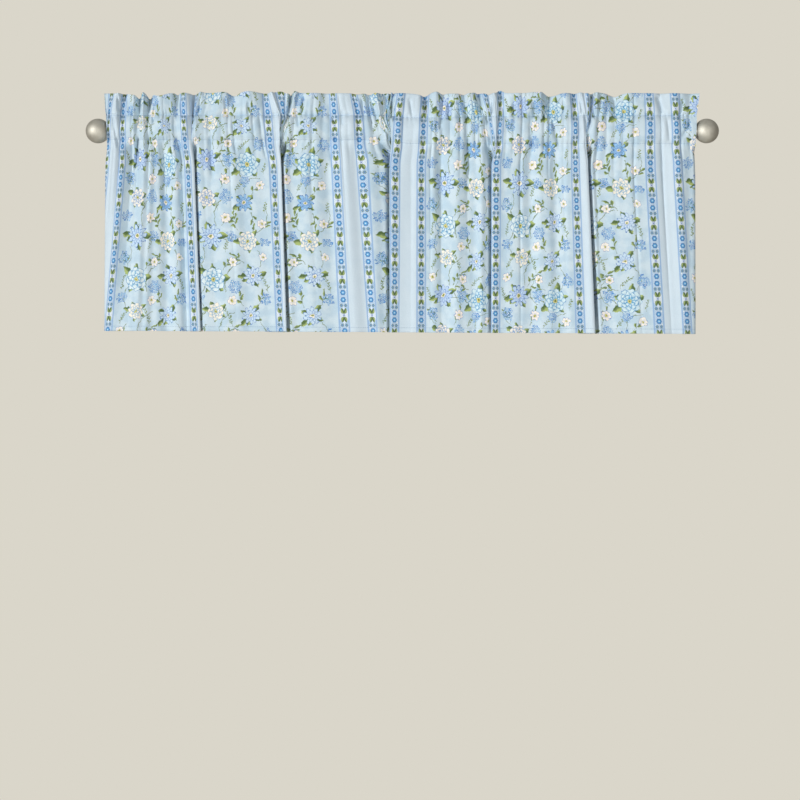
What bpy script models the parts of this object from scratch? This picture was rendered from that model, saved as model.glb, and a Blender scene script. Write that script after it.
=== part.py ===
"""A rod-pocket window valance of printed cotton, gathered on a curtain rod with ball finials.

Units are metres, +Z is up, +X runs along the rod to the right and -Y faces the room.
The origin is the middle of the rod's axis. The tables below are in millimetres and MM turns them into metres.
"""

from collections import namedtuple
import math

import bmesh
import bpy
import numpy as np

MM = 0.001

# The rod and its finials.
ROD_RADIUS = 11.0
ROD_WALL = 1.0
ROD_HALF_LENGTH = 478.0
BALL_RADIUS = 20.0
BALL_CENTRE = 495.0
SPIGOT_LENGTH = 18.0
FIT_GAP = 0.3

# The pocket is faceted, so its flats need a little more room; its left end widens over the back of the ball.
CHORD_GAP = 0.5
END_FLARE = 4.7

# The cloth: heights above and below the rod's axis, and thicknesses.
TOP_EDGE = 60.0
UPPER_SKIRT = -58.0
HEM_LEFT = -325.0
HEM_RIGHT = -330.3
HEM_DEPTH = 7.5
CLOTH = 1.2
DOUBLED = 2.6

# The gathered cloth hangs a little in front of the rod's axis, and its sewn lines more so.
FORWARD = 6.0
SEAM_FORWARD = 8.0

# The two sewn lines of the pocket aren't level: their heights at places along the rod, left to right.
Seam = namedtuple("Seam", "across header pocket")
SEAMS = (
    Seam(-484, 25, -15),
    Seam(-30, 25, -15.5),
    Seam(10, 21, -21),
    Seam(75, 20.5, -21.5),
    Seam(110, 23, -21.5),
    Seam(480, 25, -21.5),
)

# The print's stripes across the flat cloth, which the folds are measured by.
SIDE_BIT = 10.0
BORDER = 18.5
STRIPE = 29.5
PANEL = 138.0
REPEAT = PANEL + 2 * BORDER + STRIPE
SEAM = 757.0
SEAM_GAP = 3.0
RIGHT_LEAD = 40.5
FLAT_WIDTH = 1511.0

# Where the middle of each printed border hangs, left to right, at four heights: the header's edge, the rod,
# the upper skirt and the hem. A border that is folded out of sight has None there.
Border = namedtuple("Border", "flat header rod upper hem")


def border_flat(lead, pair, second):
    """Flat position of a border's middle: a pair of borders stands either side of each plain stripe."""
    return lead + BORDER / 2 + pair * REPEAT + second * (BORDER + STRIPE)


RIGHT = SEAM + RIGHT_LEAD
BORDERS = (
    Border(border_flat(SIDE_BIT, 0, 0), -471, -477, None, None),
    Border(border_flat(SIDE_BIT, 0, 1), -453, -454, -455, -479),
    Border(border_flat(SIDE_BIT, 1, 0), -356, -357, -348, -336),
    Border(border_flat(SIDE_BIT, 1, 1), -332, -340, None, None),
    Border(border_flat(SIDE_BIT, 2, 0), -221, -218, -208, -196),
    Border(border_flat(SIDE_BIT, 2, 1), -194, -188, None, None),
    Border(border_flat(SIDE_BIT, 3, 0), -113, -110, -107, -93),
    Border(border_flat(SIDE_BIT, 3, 1), -79, -72, -67, -47),
    Border(border_flat(RIGHT, 0, 0), -2, -2, -11, -13),
    Border(border_flat(RIGHT, 0, 1), 38, 35, 31, 31),
    Border(border_flat(RIGHT, 1, 0), 135, 133, None, None),
    Border(border_flat(RIGHT, 1, 1), 158, 158, 153, 151),
    Border(border_flat(RIGHT, 2, 0), 279, 279, 281, 289),
    Border(border_flat(RIGHT, 2, 1), 301, 299, None, None),
    Border(border_flat(RIGHT, 3, 0), 400, 402, 403, 418),
    Border(border_flat(RIGHT, 3, 1), 442, 444, 448, 464),
)

# The cloth's two side edges at the header and the rod.
Side = namedtuple("Side", "flat header rod")
SIDES = (Side(0.0, -484, -481), Side(FLAT_WIDTH, 483, 478))

# The folds that hang over their neighbour, one row each. The cloth is out of sight from the flat position
# "turn" for "hidden" millimetres. "upper" and "hem" say where the overlapping edge hangs, "faces" is 1 where
# that edge looks right and -1 where it looks left, and "first" and "last" are the depths where the hidden
# cloth starts and ends, negative towards the room. It comes forward again in about the width "crevice".
Pleat = namedtuple("Pleat", "turn hidden upper hem faces first last crevice")
PLEATS = (
    Pleat(243, 54, -336, -326, 1, -11, 9, 4),
    Pleat(445, 100, -196, -186, 1, -14, 12, 6),
    Pleat(711, 88, -29, -20, -1, 9, -13, 4),
    Pleat(988, 62, 140, 142, -1, 8, -12, 4),
    Pleat(1243, 78, 303, 315, 1, -14, 12, 7),
)

# The side edges are turned back behind the face: flat width of the flap at the upper skirt and at the hem,
# where the turned edge hangs, and how far back the flap's own edge lies.
Flap = namedtuple("Flap", "side upper_flat hem_flat upper hem back")
FLAPS = (Flap(-1, 14, 57, -484, -486, 11), Flap(1, 6, 26, 478, 478.5, 7))

# Ridges (positive, towards the room) and troughs (negative) across the flat cloth, one row each: half-width,
# height at the header, the rod, the upper skirt and the hem, and how far the header's top edge is lifted.
Ridge = namedtuple("Ridge", "flat width header rod upper hem lift")
RIDGES = (
    Ridge(45, 11, 7, 6, 7, 3, 0),
    Ridge(68, 9, -8, 2, 6, 6, 0),
    Ridge(93, 12, 4, 5, -3, 2, -2),
    Ridge(107, 7, -7, -1, 2, 4, -7),
    Ridge(120, 8, 9, 5, 6, 7, 1),
    Ridge(135, 7, -8, 0, 4, 5, -8),
    Ridge(158, 13, 5, 6, 2, 2, -4),
    Ridge(173, 12, 4, 6, -4, -5, -2),
    Ridge(190, 12, 3, 3, 3, 3, 0),
    Ridge(204, 7, -6, 0, -9, -9, -2),
    Ridge(226, 11, 3, 9, 9, 10, 1),
    Ridge(257, 9, -6, 2, 0, 0, -1),
    Ridge(290, 12, 6, 6, 0, 0, 2),
    Ridge(308, 9, 1, 1, -4, 1, 0),
    Ridge(342, 20, 4, 6, 5, 6, 2),
    Ridge(362, 11, -5, 4, 5, 3, -5),
    Ridge(392, 20, 6, 6, 4, 4, 3),
    Ridge(428, 12, -4, 2, 8, 7, 0),
    Ridge(455, 12, 5, 8, 0, 0, 2),
    Ridge(475, 7, -1, 4, 0, 0, 3),
    Ridge(510, 8, -9, 0, 0, 0, -2),
    Ridge(546, 9, 6, 5, 0, 0, 3),
    Ridge(585, 22, 6, 7, 5, 5, 0),
    Ridge(618, 8, -3, -2, -4, 0, 0),
    Ridge(650, 18, 3, 6, 6, 5, 0),
    Ridge(668, 12, 1, 6, -1, -1, 0),
    Ridge(690, 11, 2, 6, 6, 5, -2),
    Ridge(716, 6, -6, 0, 0, 0, -2),
    Ridge(730, 6, 6, 5, 0, 0, 0),
    Ridge(742, 6, -5, 1, 0, 0, 0),
    Ridge(767, 6, -6, 0, 0, 0, 0),
    Ridge(777, 6, 6, 5, 0, 0, 1),
    Ridge(785, 6, -7, 1, 0, 0, 0),
    Ridge(806, 14, 4, 7, 4, 3, 0),
    Ridge(845, 14, 2, 6, 4, 5, -2),
    Ridge(855, 9, -7, 1, 2, 0, -3),
    Ridge(880, 12, 7, 6, 2, 3, 2),
    Ridge(895, 9, -3, 2, -6, 0, -2),
    Ridge(925, 14, 5, 6, 6, 6, -1),
    Ridge(945, 8, -4, 3, 0, 2, -2),
    Ridge(958, 9, 5, 1, -4, 0, 0),
    Ridge(972, 8, 2, 5, 5, 0, 1),
    Ridge(992, 8, -8, 1, 0, 0, 0),
    Ridge(1022, 7, -4, 0, 0, 0, -2),
    Ridge(1042, 9, 7, 9, 0, 0, 0),
    Ridge(1060, 9, -5, 5, 5, 4, 5),
    Ridge(1095, 22, 5, 6, 4, 5, 0),
    Ridge(1126, 10, 4, 1, -4, 0, 1),
    Ridge(1145, 12, 6, 6, 5, 5, 2),
    Ridge(1162, 10, -7, 5, 3, 5, -4),
    Ridge(1176, 10, -1, 0, -4, 2, -3),
    Ridge(1200, 16, 5, 6, 6, 6, 0),
    Ridge(1217, 9, -7, 5, 3, 2, 0),
    Ridge(1239, 9, 5, 6, 0, 0, 1),
    Ridge(1262, 8, 4, 4, 0, 0, 0),
    Ridge(1290, 8, -9, 0, 0, 0, 0),
    Ridge(1323, 12, 6, 6, 0, 0, 1),
    Ridge(1358, 12, -6, 1, 3, 2, -5),
    Ridge(1386, 20, 4, 6, 5, 5, 0),
    Ridge(1420, 16, 3, 6, 4, 4, 0),
    Ridge(1446, 9, -2, 4, -1, 0, 0),
    Ridge(1468, 14, 3, 6, 5, 4, 0),
    Ridge(1496, 9, -4, 2, 0, 0, 0),
)

# How the solid is divided: cross-sections along the flat cloth, the heights of each section's stations on the
# skirt and round the rod, and the header's as shares of its height.
COLUMNS_PER_WIDTH = 71
SAMPLE = 1.0
TURN_SOFTNESS = 2.6
EDGE_CURL = 2.6
EDGE_CURL_REACH = 6.0
SKIRT_STEPS = (-260.0, -185.0, -115.0, -58.0, -44.0, -30.0)
POCKET_STEPS = (-11.3, -8.0, -2.5, 4.0, 9.5, 16.0)
HEADER_STEPS = (0.34, 0.68, 1.0)


def smooth_step(values):
    """A soft S from 0 to 1, level outside them."""
    t = np.clip(values, 0, 1)
    return t * t * (3 - 2 * t)


def soften(values, radius):
    """Rounds a sampled line with a bell-shaped average of the given radius in millimetres."""
    reach = int(math.ceil(3 * radius / SAMPLE))
    offsets = np.arange(-reach, reach + 1) * SAMPLE
    bell = np.exp(-((offsets / radius) ** 2) / 2)
    start = 2 * values[0] - values[reach:0:-1]
    end = 2 * values[-1] - values[-2 : -reach - 2 : -1]
    return np.convolve(np.concatenate([start, values, end]), bell / bell.sum(), mode="valid")


def between(row, down):
    """A table row's place, part of the way down from the upper skirt to the hem."""
    return row.upper + (row.hem - row.upper) * down


def curl(distance):
    """The extra depth that rounds a folded edge: forward before the turn and back after it."""
    near = distance / EDGE_CURL_REACH
    return EDGE_CURL * near * np.exp(0.5 - near**2 / 2)


def gathered_line(flat, level):
    """The cloth's line seen from above, at the header or the rod, where nothing overlaps."""
    rows = [(side.flat, getattr(side, level)) for side in SIDES]
    rows += [(border.flat, getattr(border, level)) for border in BORDERS]
    rows.sort()
    across = np.interp(flat, [row[0] for row in rows], [row[1] for row in rows])
    depth = np.full_like(flat, -FORWARD)
    for ridge in RIDGES:
        depth -= getattr(ridge, level) * np.exp(-(((flat - ridge.flat) / ridge.width) ** 2))
    return soften(across, 4.0), soften(depth, 1.5)


def hanging_line(flat, down):
    """The skirt's line seen from above, with its overlapping folds: 0 is the upper skirt and 1 the hem."""
    left, right = FLAPS
    left_turn = left.upper_flat + (left.hem_flat - left.upper_flat) * down
    right_turn = FLAT_WIDTH - right.upper_flat - (right.hem_flat - right.upper_flat) * down
    rows = [(border.flat, between(border, down)) for border in BORDERS if border.upper is not None]
    rows += [(left_turn, between(left, down)), (right_turn, between(right, down))]
    for pleat in PLEATS:
        step_in, step_out = (0.0, 3.0) if pleat.faces > 0 else (-3.0, 0.0)
        rows += [(pleat.turn, between(pleat, down) + step_in)]
        rows += [(pleat.turn + pleat.hidden, between(pleat, down) + step_out)]
    rows.sort()
    across = np.interp(flat, [row[0] for row in rows], [row[1] for row in rows])
    depth = np.full_like(flat, -FORWARD)
    for ridge in RIDGES:
        depth -= between(ridge, down) * np.exp(-(((flat - ridge.flat) / ridge.width) ** 2))
    for pleat in PLEATS:
        along = (flat - pleat.turn) / pleat.hidden
        reach = 0.37 * pleat.hidden
        beside = np.maximum(np.abs(along - 0.5) - 0.5, 0) * pleat.hidden
        past_edge = pleat.faces * (along - 0.5) > 0
        pressed = np.exp(-((beside / np.where(past_edge, pleat.crevice, 1.35 * reach)) ** 2))
        through = np.clip(along, 0, 1)
        across -= pleat.faces * reach * np.sin(math.pi * through)
        depth = depth * (1 - pressed) + pressed * (pleat.first + (pleat.last - pleat.first) * through)
        outer = pleat.turn if pleat.faces > 0 else pleat.turn + pleat.hidden
        depth += pleat.faces * curl(flat - outer)
    for flap, turn in ((left, left_turn), (right, right_turn)):
        beyond = np.maximum(0.0, flap.side * (flat - turn))
        across = np.where(beyond > 0, between(flap, down) - flap.side * 0.85 * beyond, across)
        pressed = np.exp(-((np.minimum(0.0, flap.side * (flat - turn)) / 16.0) ** 2))
        depth = depth * (1 - pressed) + flap.back * (1 - np.exp(-beyond / 9.0))
        depth += curl(flap.side * (flat - turn))
    return soften(across, TURN_SOFTNESS), soften(depth, TURN_SOFTNESS)


class Drape:
    """The hanging cloth as a sheet: flat position and height give a point in space."""

    def __init__(self):
        self.flat = np.arange(0.0, FLAT_WIDTH + SAMPLE / 2, SAMPLE)
        self.header = gathered_line(self.flat, "header")
        self.rod = gathered_line(self.flat, "rod")
        self.upper = hanging_line(self.flat, 0.0)
        self.hem = hanging_line(self.flat, 1.0)
        lift = np.zeros_like(self.flat)
        for ridge in RIDGES:
            lift += ridge.lift * np.exp(-(((self.flat - ridge.flat) / ridge.width) ** 2))
        self.top = TOP_EDGE + lift
        self.bottom = HEM_LEFT + (HEM_RIGHT - HEM_LEFT) * self.flat / FLAT_WIDTH
        # The left end of the pocket opens a little where it reaches over the back of the ball.
        self.flare = END_FLARE * np.exp(-((self.flat / 16.0) ** 2))
        places = [seam.across for seam in SEAMS]
        self.high = np.interp(self.rod[0], places, [seam.header for seam in SEAMS])
        self.low = np.interp(self.rod[0], places, [seam.pocket for seam in SEAMS]) - self.flare
        # The sewn lines wave half as much as the header above them.
        wave = 0.35 * (self.header[1] + FORWARD) + 0.2 * (self.rod[1] + FORWARD)
        self.seam_depth = wave - SEAM_FORWARD

    def hull(self, height, radius, side):
        """How far the pocket stands off the rod's axis: round it, then straight to each sewn line.

        Also the share of the surface's outward direction that points up."""
        seam = side * self.seam_depth
        bulge = np.sqrt(np.maximum(radius**2 - height**2, 0))
        slope = np.clip(height / radius, -1, 1)
        for apex, up in ((self.high - 1.5, 1), (self.low + 1.0, -1)):
            turn = np.arctan2(seam, up * apex) + np.arccos(radius / np.hypot(seam, apex))
            touch, touch_height = radius * np.sin(turn), up * radius * np.cos(turn)
            along = (height - touch_height) / (apex - touch_height)
            bulge = np.where(along > 0, touch + (seam - touch) * along, bulge)
            slope = np.where(along > 0, up * np.cos(turn), slope)
        return bulge, slope

    def skirt(self, share):
        """The sheet's line (x, y, z) on the skirt, from the bottom edge (0) to the pocket seam (1)."""
        height = self.bottom + (self.low - self.bottom) * share
        below = (self.low - height) / (self.low - UPPER_SKIRT)
        pleated = smooth_step(below)
        pressed = smooth_step(1.9 * below)
        down = min(1.0, max(0.0, (UPPER_SKIRT - height.mean()) / (UPPER_SKIRT - self.bottom.mean())))
        across, depth = hanging_line(self.flat, down)
        across = self.rod[0] + (across - self.rod[0]) * pleated
        depth = self.seam_depth + (depth - self.seam_depth) * pressed
        return across, depth, height

    def frill(self, share):
        """The sheet's line on the header, from its seam (0) to the top edge (1)."""
        height = self.high + (self.top - self.high) * share
        across = self.rod[0] + (self.header[0] - self.rod[0]) * share
        depth = self.seam_depth + (self.header[1] - self.seam_depth) * share
        return across, depth, height

    def pocket(self, height, side, thickness):
        """The line round the rod, in front (-1) or behind (1), a thickness out from the inner face."""
        radius = ROD_RADIUS + FIT_GAP + CHORD_GAP + self.flare
        level = np.full_like(self.flat, height)
        centre = (self.high + self.low) / 2
        full = 1 - np.clip(np.abs(level - centre) / (self.high - centre), 0, 1) ** 3
        ridge = np.maximum(-(self.rod[1] + FORWARD), 0) * (0.7 if side < 0 else 0.4)
        bulge, slope = self.hull(level, radius, side)
        depth = side * (bulge + ridge * full + thickness * np.sqrt(1 - slope**2))
        return self.rod[0], depth, level + thickness * slope


def offset(line, distance):
    """Moves a line square to itself, seen from above; a positive distance goes towards the room."""
    across, depth, height = line
    run = np.gradient(across)
    rise = np.gradient(depth)
    length = np.maximum(np.hypot(run, rise), 1e-6)
    return across + distance * rise / length, depth - distance * run / length, height


def section_rows(drape):
    """Every station of the cross-section by name, each a line along the whole flat cloth."""
    rows = {}
    drop = drape.low.mean() - drape.bottom.mean()
    skirt = [("hem", 0.0), ("hem_stitch", HEM_DEPTH / drop)]
    skirt += [(f"skirt_{n}", (height - drape.bottom.mean()) / drop) for n, height in enumerate(SKIRT_STEPS)]
    for name, share in skirt:
        line = drape.skirt(share)
        rows[name, "front"] = offset(line, CLOTH / 2)
        rows[name, "back"] = offset(line, -CLOTH / 2)
    low = drape.skirt(1.0)
    rows["pocket_seam", "front"] = offset(low, DOUBLED / 2)
    rows["pocket_seam", "back"] = offset(low, -DOUBLED / 2)
    rows["pocket_seam", "inner"] = (low[0], low[1], low[2] + 1.0)
    pocket = []
    for n, height in enumerate(POCKET_STEPS):
        name = f"pocket_{n}"
        pocket.append(name)
        for side, sign in (("front", -1), ("back", 1)):
            rows[name, side] = drape.pocket(height, sign, CLOTH)
            rows[name, "inner_" + side] = drape.pocket(height, sign, 0.0)
    high = drape.frill(0.0)
    rows["header_seam", "front"] = offset(high, DOUBLED / 2)
    rows["header_seam", "back"] = offset(high, -DOUBLED / 2)
    rows["header_seam", "inner"] = (high[0], high[1], high[2] - 1.5)
    header = []
    for n, share in enumerate(HEADER_STEPS):
        name = f"header_{n}"
        header.append(name)
        line = drape.frill(share)
        rows[name, "front"] = offset(line, DOUBLED / 2)
        rows[name, "back"] = offset(line, -DOUBLED / 2)
    return rows, [name for name, _ in skirt], pocket, header


def section_faces(skirt, pocket, header):
    """The cut end of the cloth as faces, each a list of stations, with the pocket left open."""
    faces = []
    for low, high in zip(skirt, skirt[1:]):
        faces.append([(low, "front"), (high, "front"), (high, "back"), (low, "back")])
    last = skirt[-1]
    seam = "pocket_seam"
    faces.append([(last, "front"), (seam, "front"), (seam, "inner"), (seam, "back"), (last, "back")])
    first = pocket[0]
    faces.append([(seam, "front"), (first, "front"), (first, "inner_front"), (seam, "inner")])
    faces.append([(seam, "inner"), (first, "inner_back"), (first, "back"), (seam, "back")])
    for low, high in zip(pocket, pocket[1:]):
        faces.append([(low, "front"), (high, "front"), (high, "inner_front"), (low, "inner_front")])
        faces.append([(low, "inner_back"), (high, "inner_back"), (high, "back"), (low, "back")])
    last = pocket[-1]
    seam = "header_seam"
    faces.append([(last, "front"), (seam, "front"), (seam, "inner"), (last, "inner_front")])
    faces.append([(last, "inner_back"), (seam, "inner"), (seam, "back"), (last, "back")])
    first = header[0]
    faces.append([(seam, "front"), (first, "front"), (first, "back"), (seam, "back"), (seam, "inner")])
    for low, high in zip(header, header[1:]):
        faces.append([(low, "front"), (high, "front"), (high, "back"), (low, "back")])
    return faces


def column_positions(drape, start, end, count):
    """Flat positions of the sections: closer together where the cloth turns."""
    flat = np.arange(start, end + SAMPLE / 2, SAMPLE)
    effort = np.full_like(flat, 1.0 / 15.0)
    for line, share in ((drape.header, 0.5), (drape.upper, 0.8), (drape.hem, 0.8)):
        across = np.interp(flat, drape.flat, line[0])
        depth = np.interp(flat, drape.flat, line[1])
        heading = np.unwrap(np.arctan2(np.gradient(depth), np.gradient(across)))
        effort += share * np.abs(np.gradient(heading)) / math.radians(34) / SAMPLE
    travelled = np.concatenate([[0], np.cumsum((effort[1:] + effort[:-1]) / 2)])
    return np.interp(np.linspace(0, travelled[-1], count), travelled, flat)


def add_material(obj, name, colour, roughness, metallic=0.0):
    material = bpy.data.materials.new(name)
    material.use_nodes = True
    shader = material.node_tree.nodes["Principled BSDF"]
    shader.inputs["Base Color"].default_value = (*colour, 1)
    shader.inputs["Roughness"].default_value = roughness
    shader.inputs["Metallic"].default_value = metallic
    obj.data.materials.append(material)


def add_object(name, bm):
    mesh = bpy.data.meshes.new(name)
    bm.to_mesh(mesh)
    bm.free()
    obj = bpy.data.objects.new(name, mesh)
    bpy.context.scene.collection.objects.link(obj)
    return obj


def make_width(name, drape, start, end):
    """One cut width of cloth: its cross-section, extruded from fold to fold along the flat cloth."""
    rows, skirt, pocket, header = section_rows(drape)
    stations = list(rows)
    columns = column_positions(drape, start, end, COLUMNS_PER_WIDTH)
    table = np.empty((len(stations), len(columns), 3))
    for index, station in enumerate(stations):
        for axis in range(3):
            table[index, :, axis] = np.interp(columns, drape.flat, rows[station][axis])
    bm = bmesh.new()
    tag = bm.verts.layers.int.new("station")
    verts = []
    for index in range(len(stations)):
        vert = bm.verts.new(table[index, 0] * MM)
        vert[tag] = index
        verts.append(vert)
    region = []
    for face in section_faces(skirt, pocket, header):
        region.append(bm.faces.new([verts[stations.index(key)] for key in face]))
    for column in range(1, len(columns)):
        made = bmesh.ops.extrude_face_region(bm, geom=region)["geom"]
        for vert in made:
            if isinstance(vert, bmesh.types.BMVert):
                vert.co = table[vert[tag], column] * MM
        if column > 1:
            bmesh.ops.delete(bm, geom=region, context="FACES")
        region = [face for face in made if isinstance(face, bmesh.types.BMFace)]
    bmesh.ops.recalc_face_normals(bm, faces=bm.faces)
    bm.verts.layers.int.remove(tag)
    bmesh.ops.triangulate(bm, faces=bm.faces)
    obj = add_object(name, bm)
    obj.data.shade_smooth()
    add_material(obj, name + "_cotton", (0.55, 0.66, 0.74), 0.85)
    return obj


def turned(name, profile, steps=36):
    """A solid turned round the rod's axis from its (x, radius) profile, closed on the axis or as a ring."""
    bm = bmesh.new()
    verts = [bm.verts.new((x * MM, 0, radius * MM)) for x, radius in profile]
    edges = [bm.edges.new(pair) for pair in zip(verts, verts[1:])]
    if min(radius for _, radius in profile) > 0:
        edges.append(bm.edges.new((verts[-1], verts[0])))
    bmesh.ops.spin(
        bm, geom=verts + edges, cent=(0, 0, 0), axis=(1, 0, 0), angle=2 * math.pi, steps=steps, use_merge=True
    )
    bmesh.ops.remove_doubles(bm, verts=bm.verts, dist=1e-6)
    bmesh.ops.recalc_face_normals(bm, faces=bm.faces)
    obj = add_object(name, bm)
    obj.data.shade_smooth()
    obj.data.set_sharp_from_angle(angle=math.radians(35))
    return obj


def make_rod():
    inner = ROD_RADIUS - ROD_WALL
    end = ROD_HALF_LENGTH
    rod = turned("rod_tube", [(-end, ROD_RADIUS), (end, ROD_RADIUS), (end, inner), (-end, inner)])
    add_material(rod, "rod_nickel", (0.52, 0.50, 0.46), 0.32, 1.0)


def make_finial(name, side):
    """A ball with a flat shoulder against the tube's end and a spigot inside the tube."""
    shoulder = math.asin(ROD_RADIUS / BALL_RADIUS)
    spigot = ROD_RADIUS - ROD_WALL - FIT_GAP
    face = BALL_CENTRE - BALL_RADIUS * math.cos(shoulder)
    start = ROD_HALF_LENGTH + FIT_GAP
    foot = start - SPIGOT_LENGTH
    profile = [(foot, 0), (foot, spigot - 0.8), (foot + 0.8, spigot), (start, spigot), (start, ROD_RADIUS)]
    rings = 16
    for n in range(rings + 1):
        angle = shoulder + (math.pi - shoulder) * n / rings
        radius = BALL_RADIUS * math.sin(angle) if n < rings else 0.0
        if n > 0 or face > start + 0.05:
            profile.append((BALL_CENTRE - BALL_RADIUS * math.cos(angle), radius))
    finial = turned(name, [(side * x, radius) for x, radius in profile])
    add_material(finial, name + "_nickel", (0.52, 0.50, 0.46), 0.3, 1.0)


for old in list(bpy.data.objects):
    bpy.data.objects.remove(old, do_unlink=True)

hanging = Drape()
make_width("valance_left_width", hanging, 0.0, SEAM - SEAM_GAP / 2)
make_width("valance_right_width", hanging, SEAM + SEAM_GAP / 2, FLAT_WIDTH)
make_rod()
make_finial("finial_left", -1)
make_finial("finial_right", 1)
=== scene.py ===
from collections import namedtuple
import math
import random

import bmesh
import bpy
import numpy as np
from mathutils import Matrix, Vector


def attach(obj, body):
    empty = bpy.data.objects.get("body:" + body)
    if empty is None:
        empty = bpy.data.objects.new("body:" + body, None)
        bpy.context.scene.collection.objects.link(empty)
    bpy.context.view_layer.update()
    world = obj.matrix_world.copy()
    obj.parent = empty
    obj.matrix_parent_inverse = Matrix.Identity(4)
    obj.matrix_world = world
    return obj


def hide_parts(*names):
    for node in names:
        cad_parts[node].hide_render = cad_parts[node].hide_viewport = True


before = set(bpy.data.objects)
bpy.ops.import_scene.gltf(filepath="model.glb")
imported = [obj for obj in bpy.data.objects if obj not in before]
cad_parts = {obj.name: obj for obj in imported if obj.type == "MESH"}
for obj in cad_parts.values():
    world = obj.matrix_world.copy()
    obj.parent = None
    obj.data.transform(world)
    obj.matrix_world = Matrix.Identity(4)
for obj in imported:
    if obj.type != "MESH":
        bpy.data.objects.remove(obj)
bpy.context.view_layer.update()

# ------------------------------------------------------------------------------
# The curtain rod: a plain drawn steel tube with a nickel finish, 22 mm across. Only its ends ever show, where
# the pocket stops short of the finials. The solid's own mesh stays and gets its finish here.

MM = 0.001
ROD_RADIUS = 11.0
ROD_HALF_LENGTH = 478.0


class Shades:
    """The nodes of a material or a world, made one after the other and joined as they are made."""

    def __init__(self, name, kind="materials"):
        self.owner = getattr(bpy.data, kind).new(name)
        self.owner.use_nodes = True
        self.tree = self.owner.node_tree
        self.tree.nodes.clear()

    def plug(self, socket, value):
        if isinstance(value, bpy.types.NodeSocket):
            self.tree.links.new(value, socket)
        else:
            socket.default_value = value

    def node(self, kind, settings=(), **inputs):
        """A node with its settings, and its inputs by name or, as _0, by number."""
        made = self.tree.nodes.new(kind)
        for key, value in dict(settings).items():
            setattr(made, key, value)
        for key, value in inputs.items():
            self.plug(made.inputs[int(key[1:]) if key[0] == "_" else key.replace("_", " ")], value)
        return made

    def join(self, made, values):
        for socket, value in zip(made.inputs, values):
            self.plug(socket, value)
        return made.outputs[0]

    def maths(self, operation, *values):
        return self.join(self.node("ShaderNodeMath", {"operation": operation}), values)

    def times(self, *values):
        return self.maths("MULTIPLY", *values)

    def times_plus(self, *values):
        """The first value times the second, plus the third."""
        return self.maths("MULTIPLY_ADD", *values)

    def minus(self, *values):
        return self.maths("SUBTRACT", *values)

    def size(self, value):
        return self.maths("ABSOLUTE", value)

    def between(self, value, low, high, start=0.0, end=1.0):
        """Value's place from low to high, as start to end, with soft ends."""
        made = self.node("ShaderNodeMapRange", {"interpolation_type": "SMOOTHSTEP"})
        return self.join(made, (value, low, high, start, end))

    def mix(self, share, first, second):
        """Colours first and second, mixed."""
        return self.node("ShaderNodeMix", {"data_type": "RGBA"}, _0=share, _6=first, _7=second).outputs[2]

    def noise(self, place, scale, detail, dimensions="3D"):
        settings = {"noise_dimensions": dimensions}
        return self.node("ShaderNodeTexNoise", settings, Vector=place, Scale=scale, Detail=detail)

    def split(self, colour):
        """A colour's three values."""
        return self.node("ShaderNodeSeparateColor", Color=colour).outputs[:3]

    def finish(self, shader, kind="Material"):
        self.node(f"ShaderNodeOutput{kind}", Surface=shader.outputs[0])
        return self.owner

    def surface(self, **inputs):
        """The finished material, of one Principled shader."""
        return self.finish(self.node("ShaderNodeBsdfPrincipled", **inputs))


def dye(red, green, blue):
    """A colour given as it looks on a screen, from 0 to 255."""
    scaled = [channel / 255 for channel in (red, green, blue)]
    return (*[c / 12.92 if c < 0.04045 else ((c + 0.055) / 1.055) ** 2.4 for c in scaled], 1.0)


def satin_nickel(name, roughness, drawn_along):
    """Nickel with the fine lines of its polishing, drawn along one axis."""
    ink = Shades(name)
    place = ink.node("ShaderNodeTexCoord").outputs["Object"]
    stretched = ink.node("ShaderNodeVectorMath", {"operation": "MULTIPLY"}, _0=place, _1=drawn_along)
    lines = ink.noise(stretched.outputs[0], 1.0, 3.0).outputs["Fac"]
    cloud = ink.noise(place, 90.0, 2.0).outputs["Fac"]
    gloss = ink.between(lines, 0.3, 0.7, roughness - 0.05, roughness + 0.07)
    tone = ink.between(cloud, 0.35, 0.7)
    colour = ink.mix(tone, dye(206, 203, 191), dye(216, 213, 202))
    relief = ink.node("ShaderNodeBump", Strength=0.05, Distance=0.0002, Height=lines)
    return ink.surface(Base_Color=colour, Metallic=1.0, Roughness=gloss, Normal=relief.outputs["Normal"])


rod = bpy.data.objects["rod_tube"]
rod.data.materials.clear()
rod.data.materials.append(satin_nickel("rod_nickel", 0.34, (40.0, 2500.0, 2500.0)))

# ------------------------------------------------------------------------------
# The finials: two hollow balls 40 mm across, spun and polished, each with a flat shoulder against the tube
# and a spigot pushed into its bore. The turned mesh here is rounder than the solid's.

BALL_RADIUS = 20.0
BALL_CENTRE = 495.0
SPIGOT_RADIUS = 9.7
SPIGOT_LENGTH = 18.0
SPIGOT_BEVEL = 0.8
SHOULDER_GAP = 0.3
RINGS = 34


def put(name, data):
    """Puts a mesh, lamp or camera into the scene."""
    made = bpy.data.objects.new(name, data)
    bpy.context.scene.collection.objects.link(made)
    return made


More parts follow.
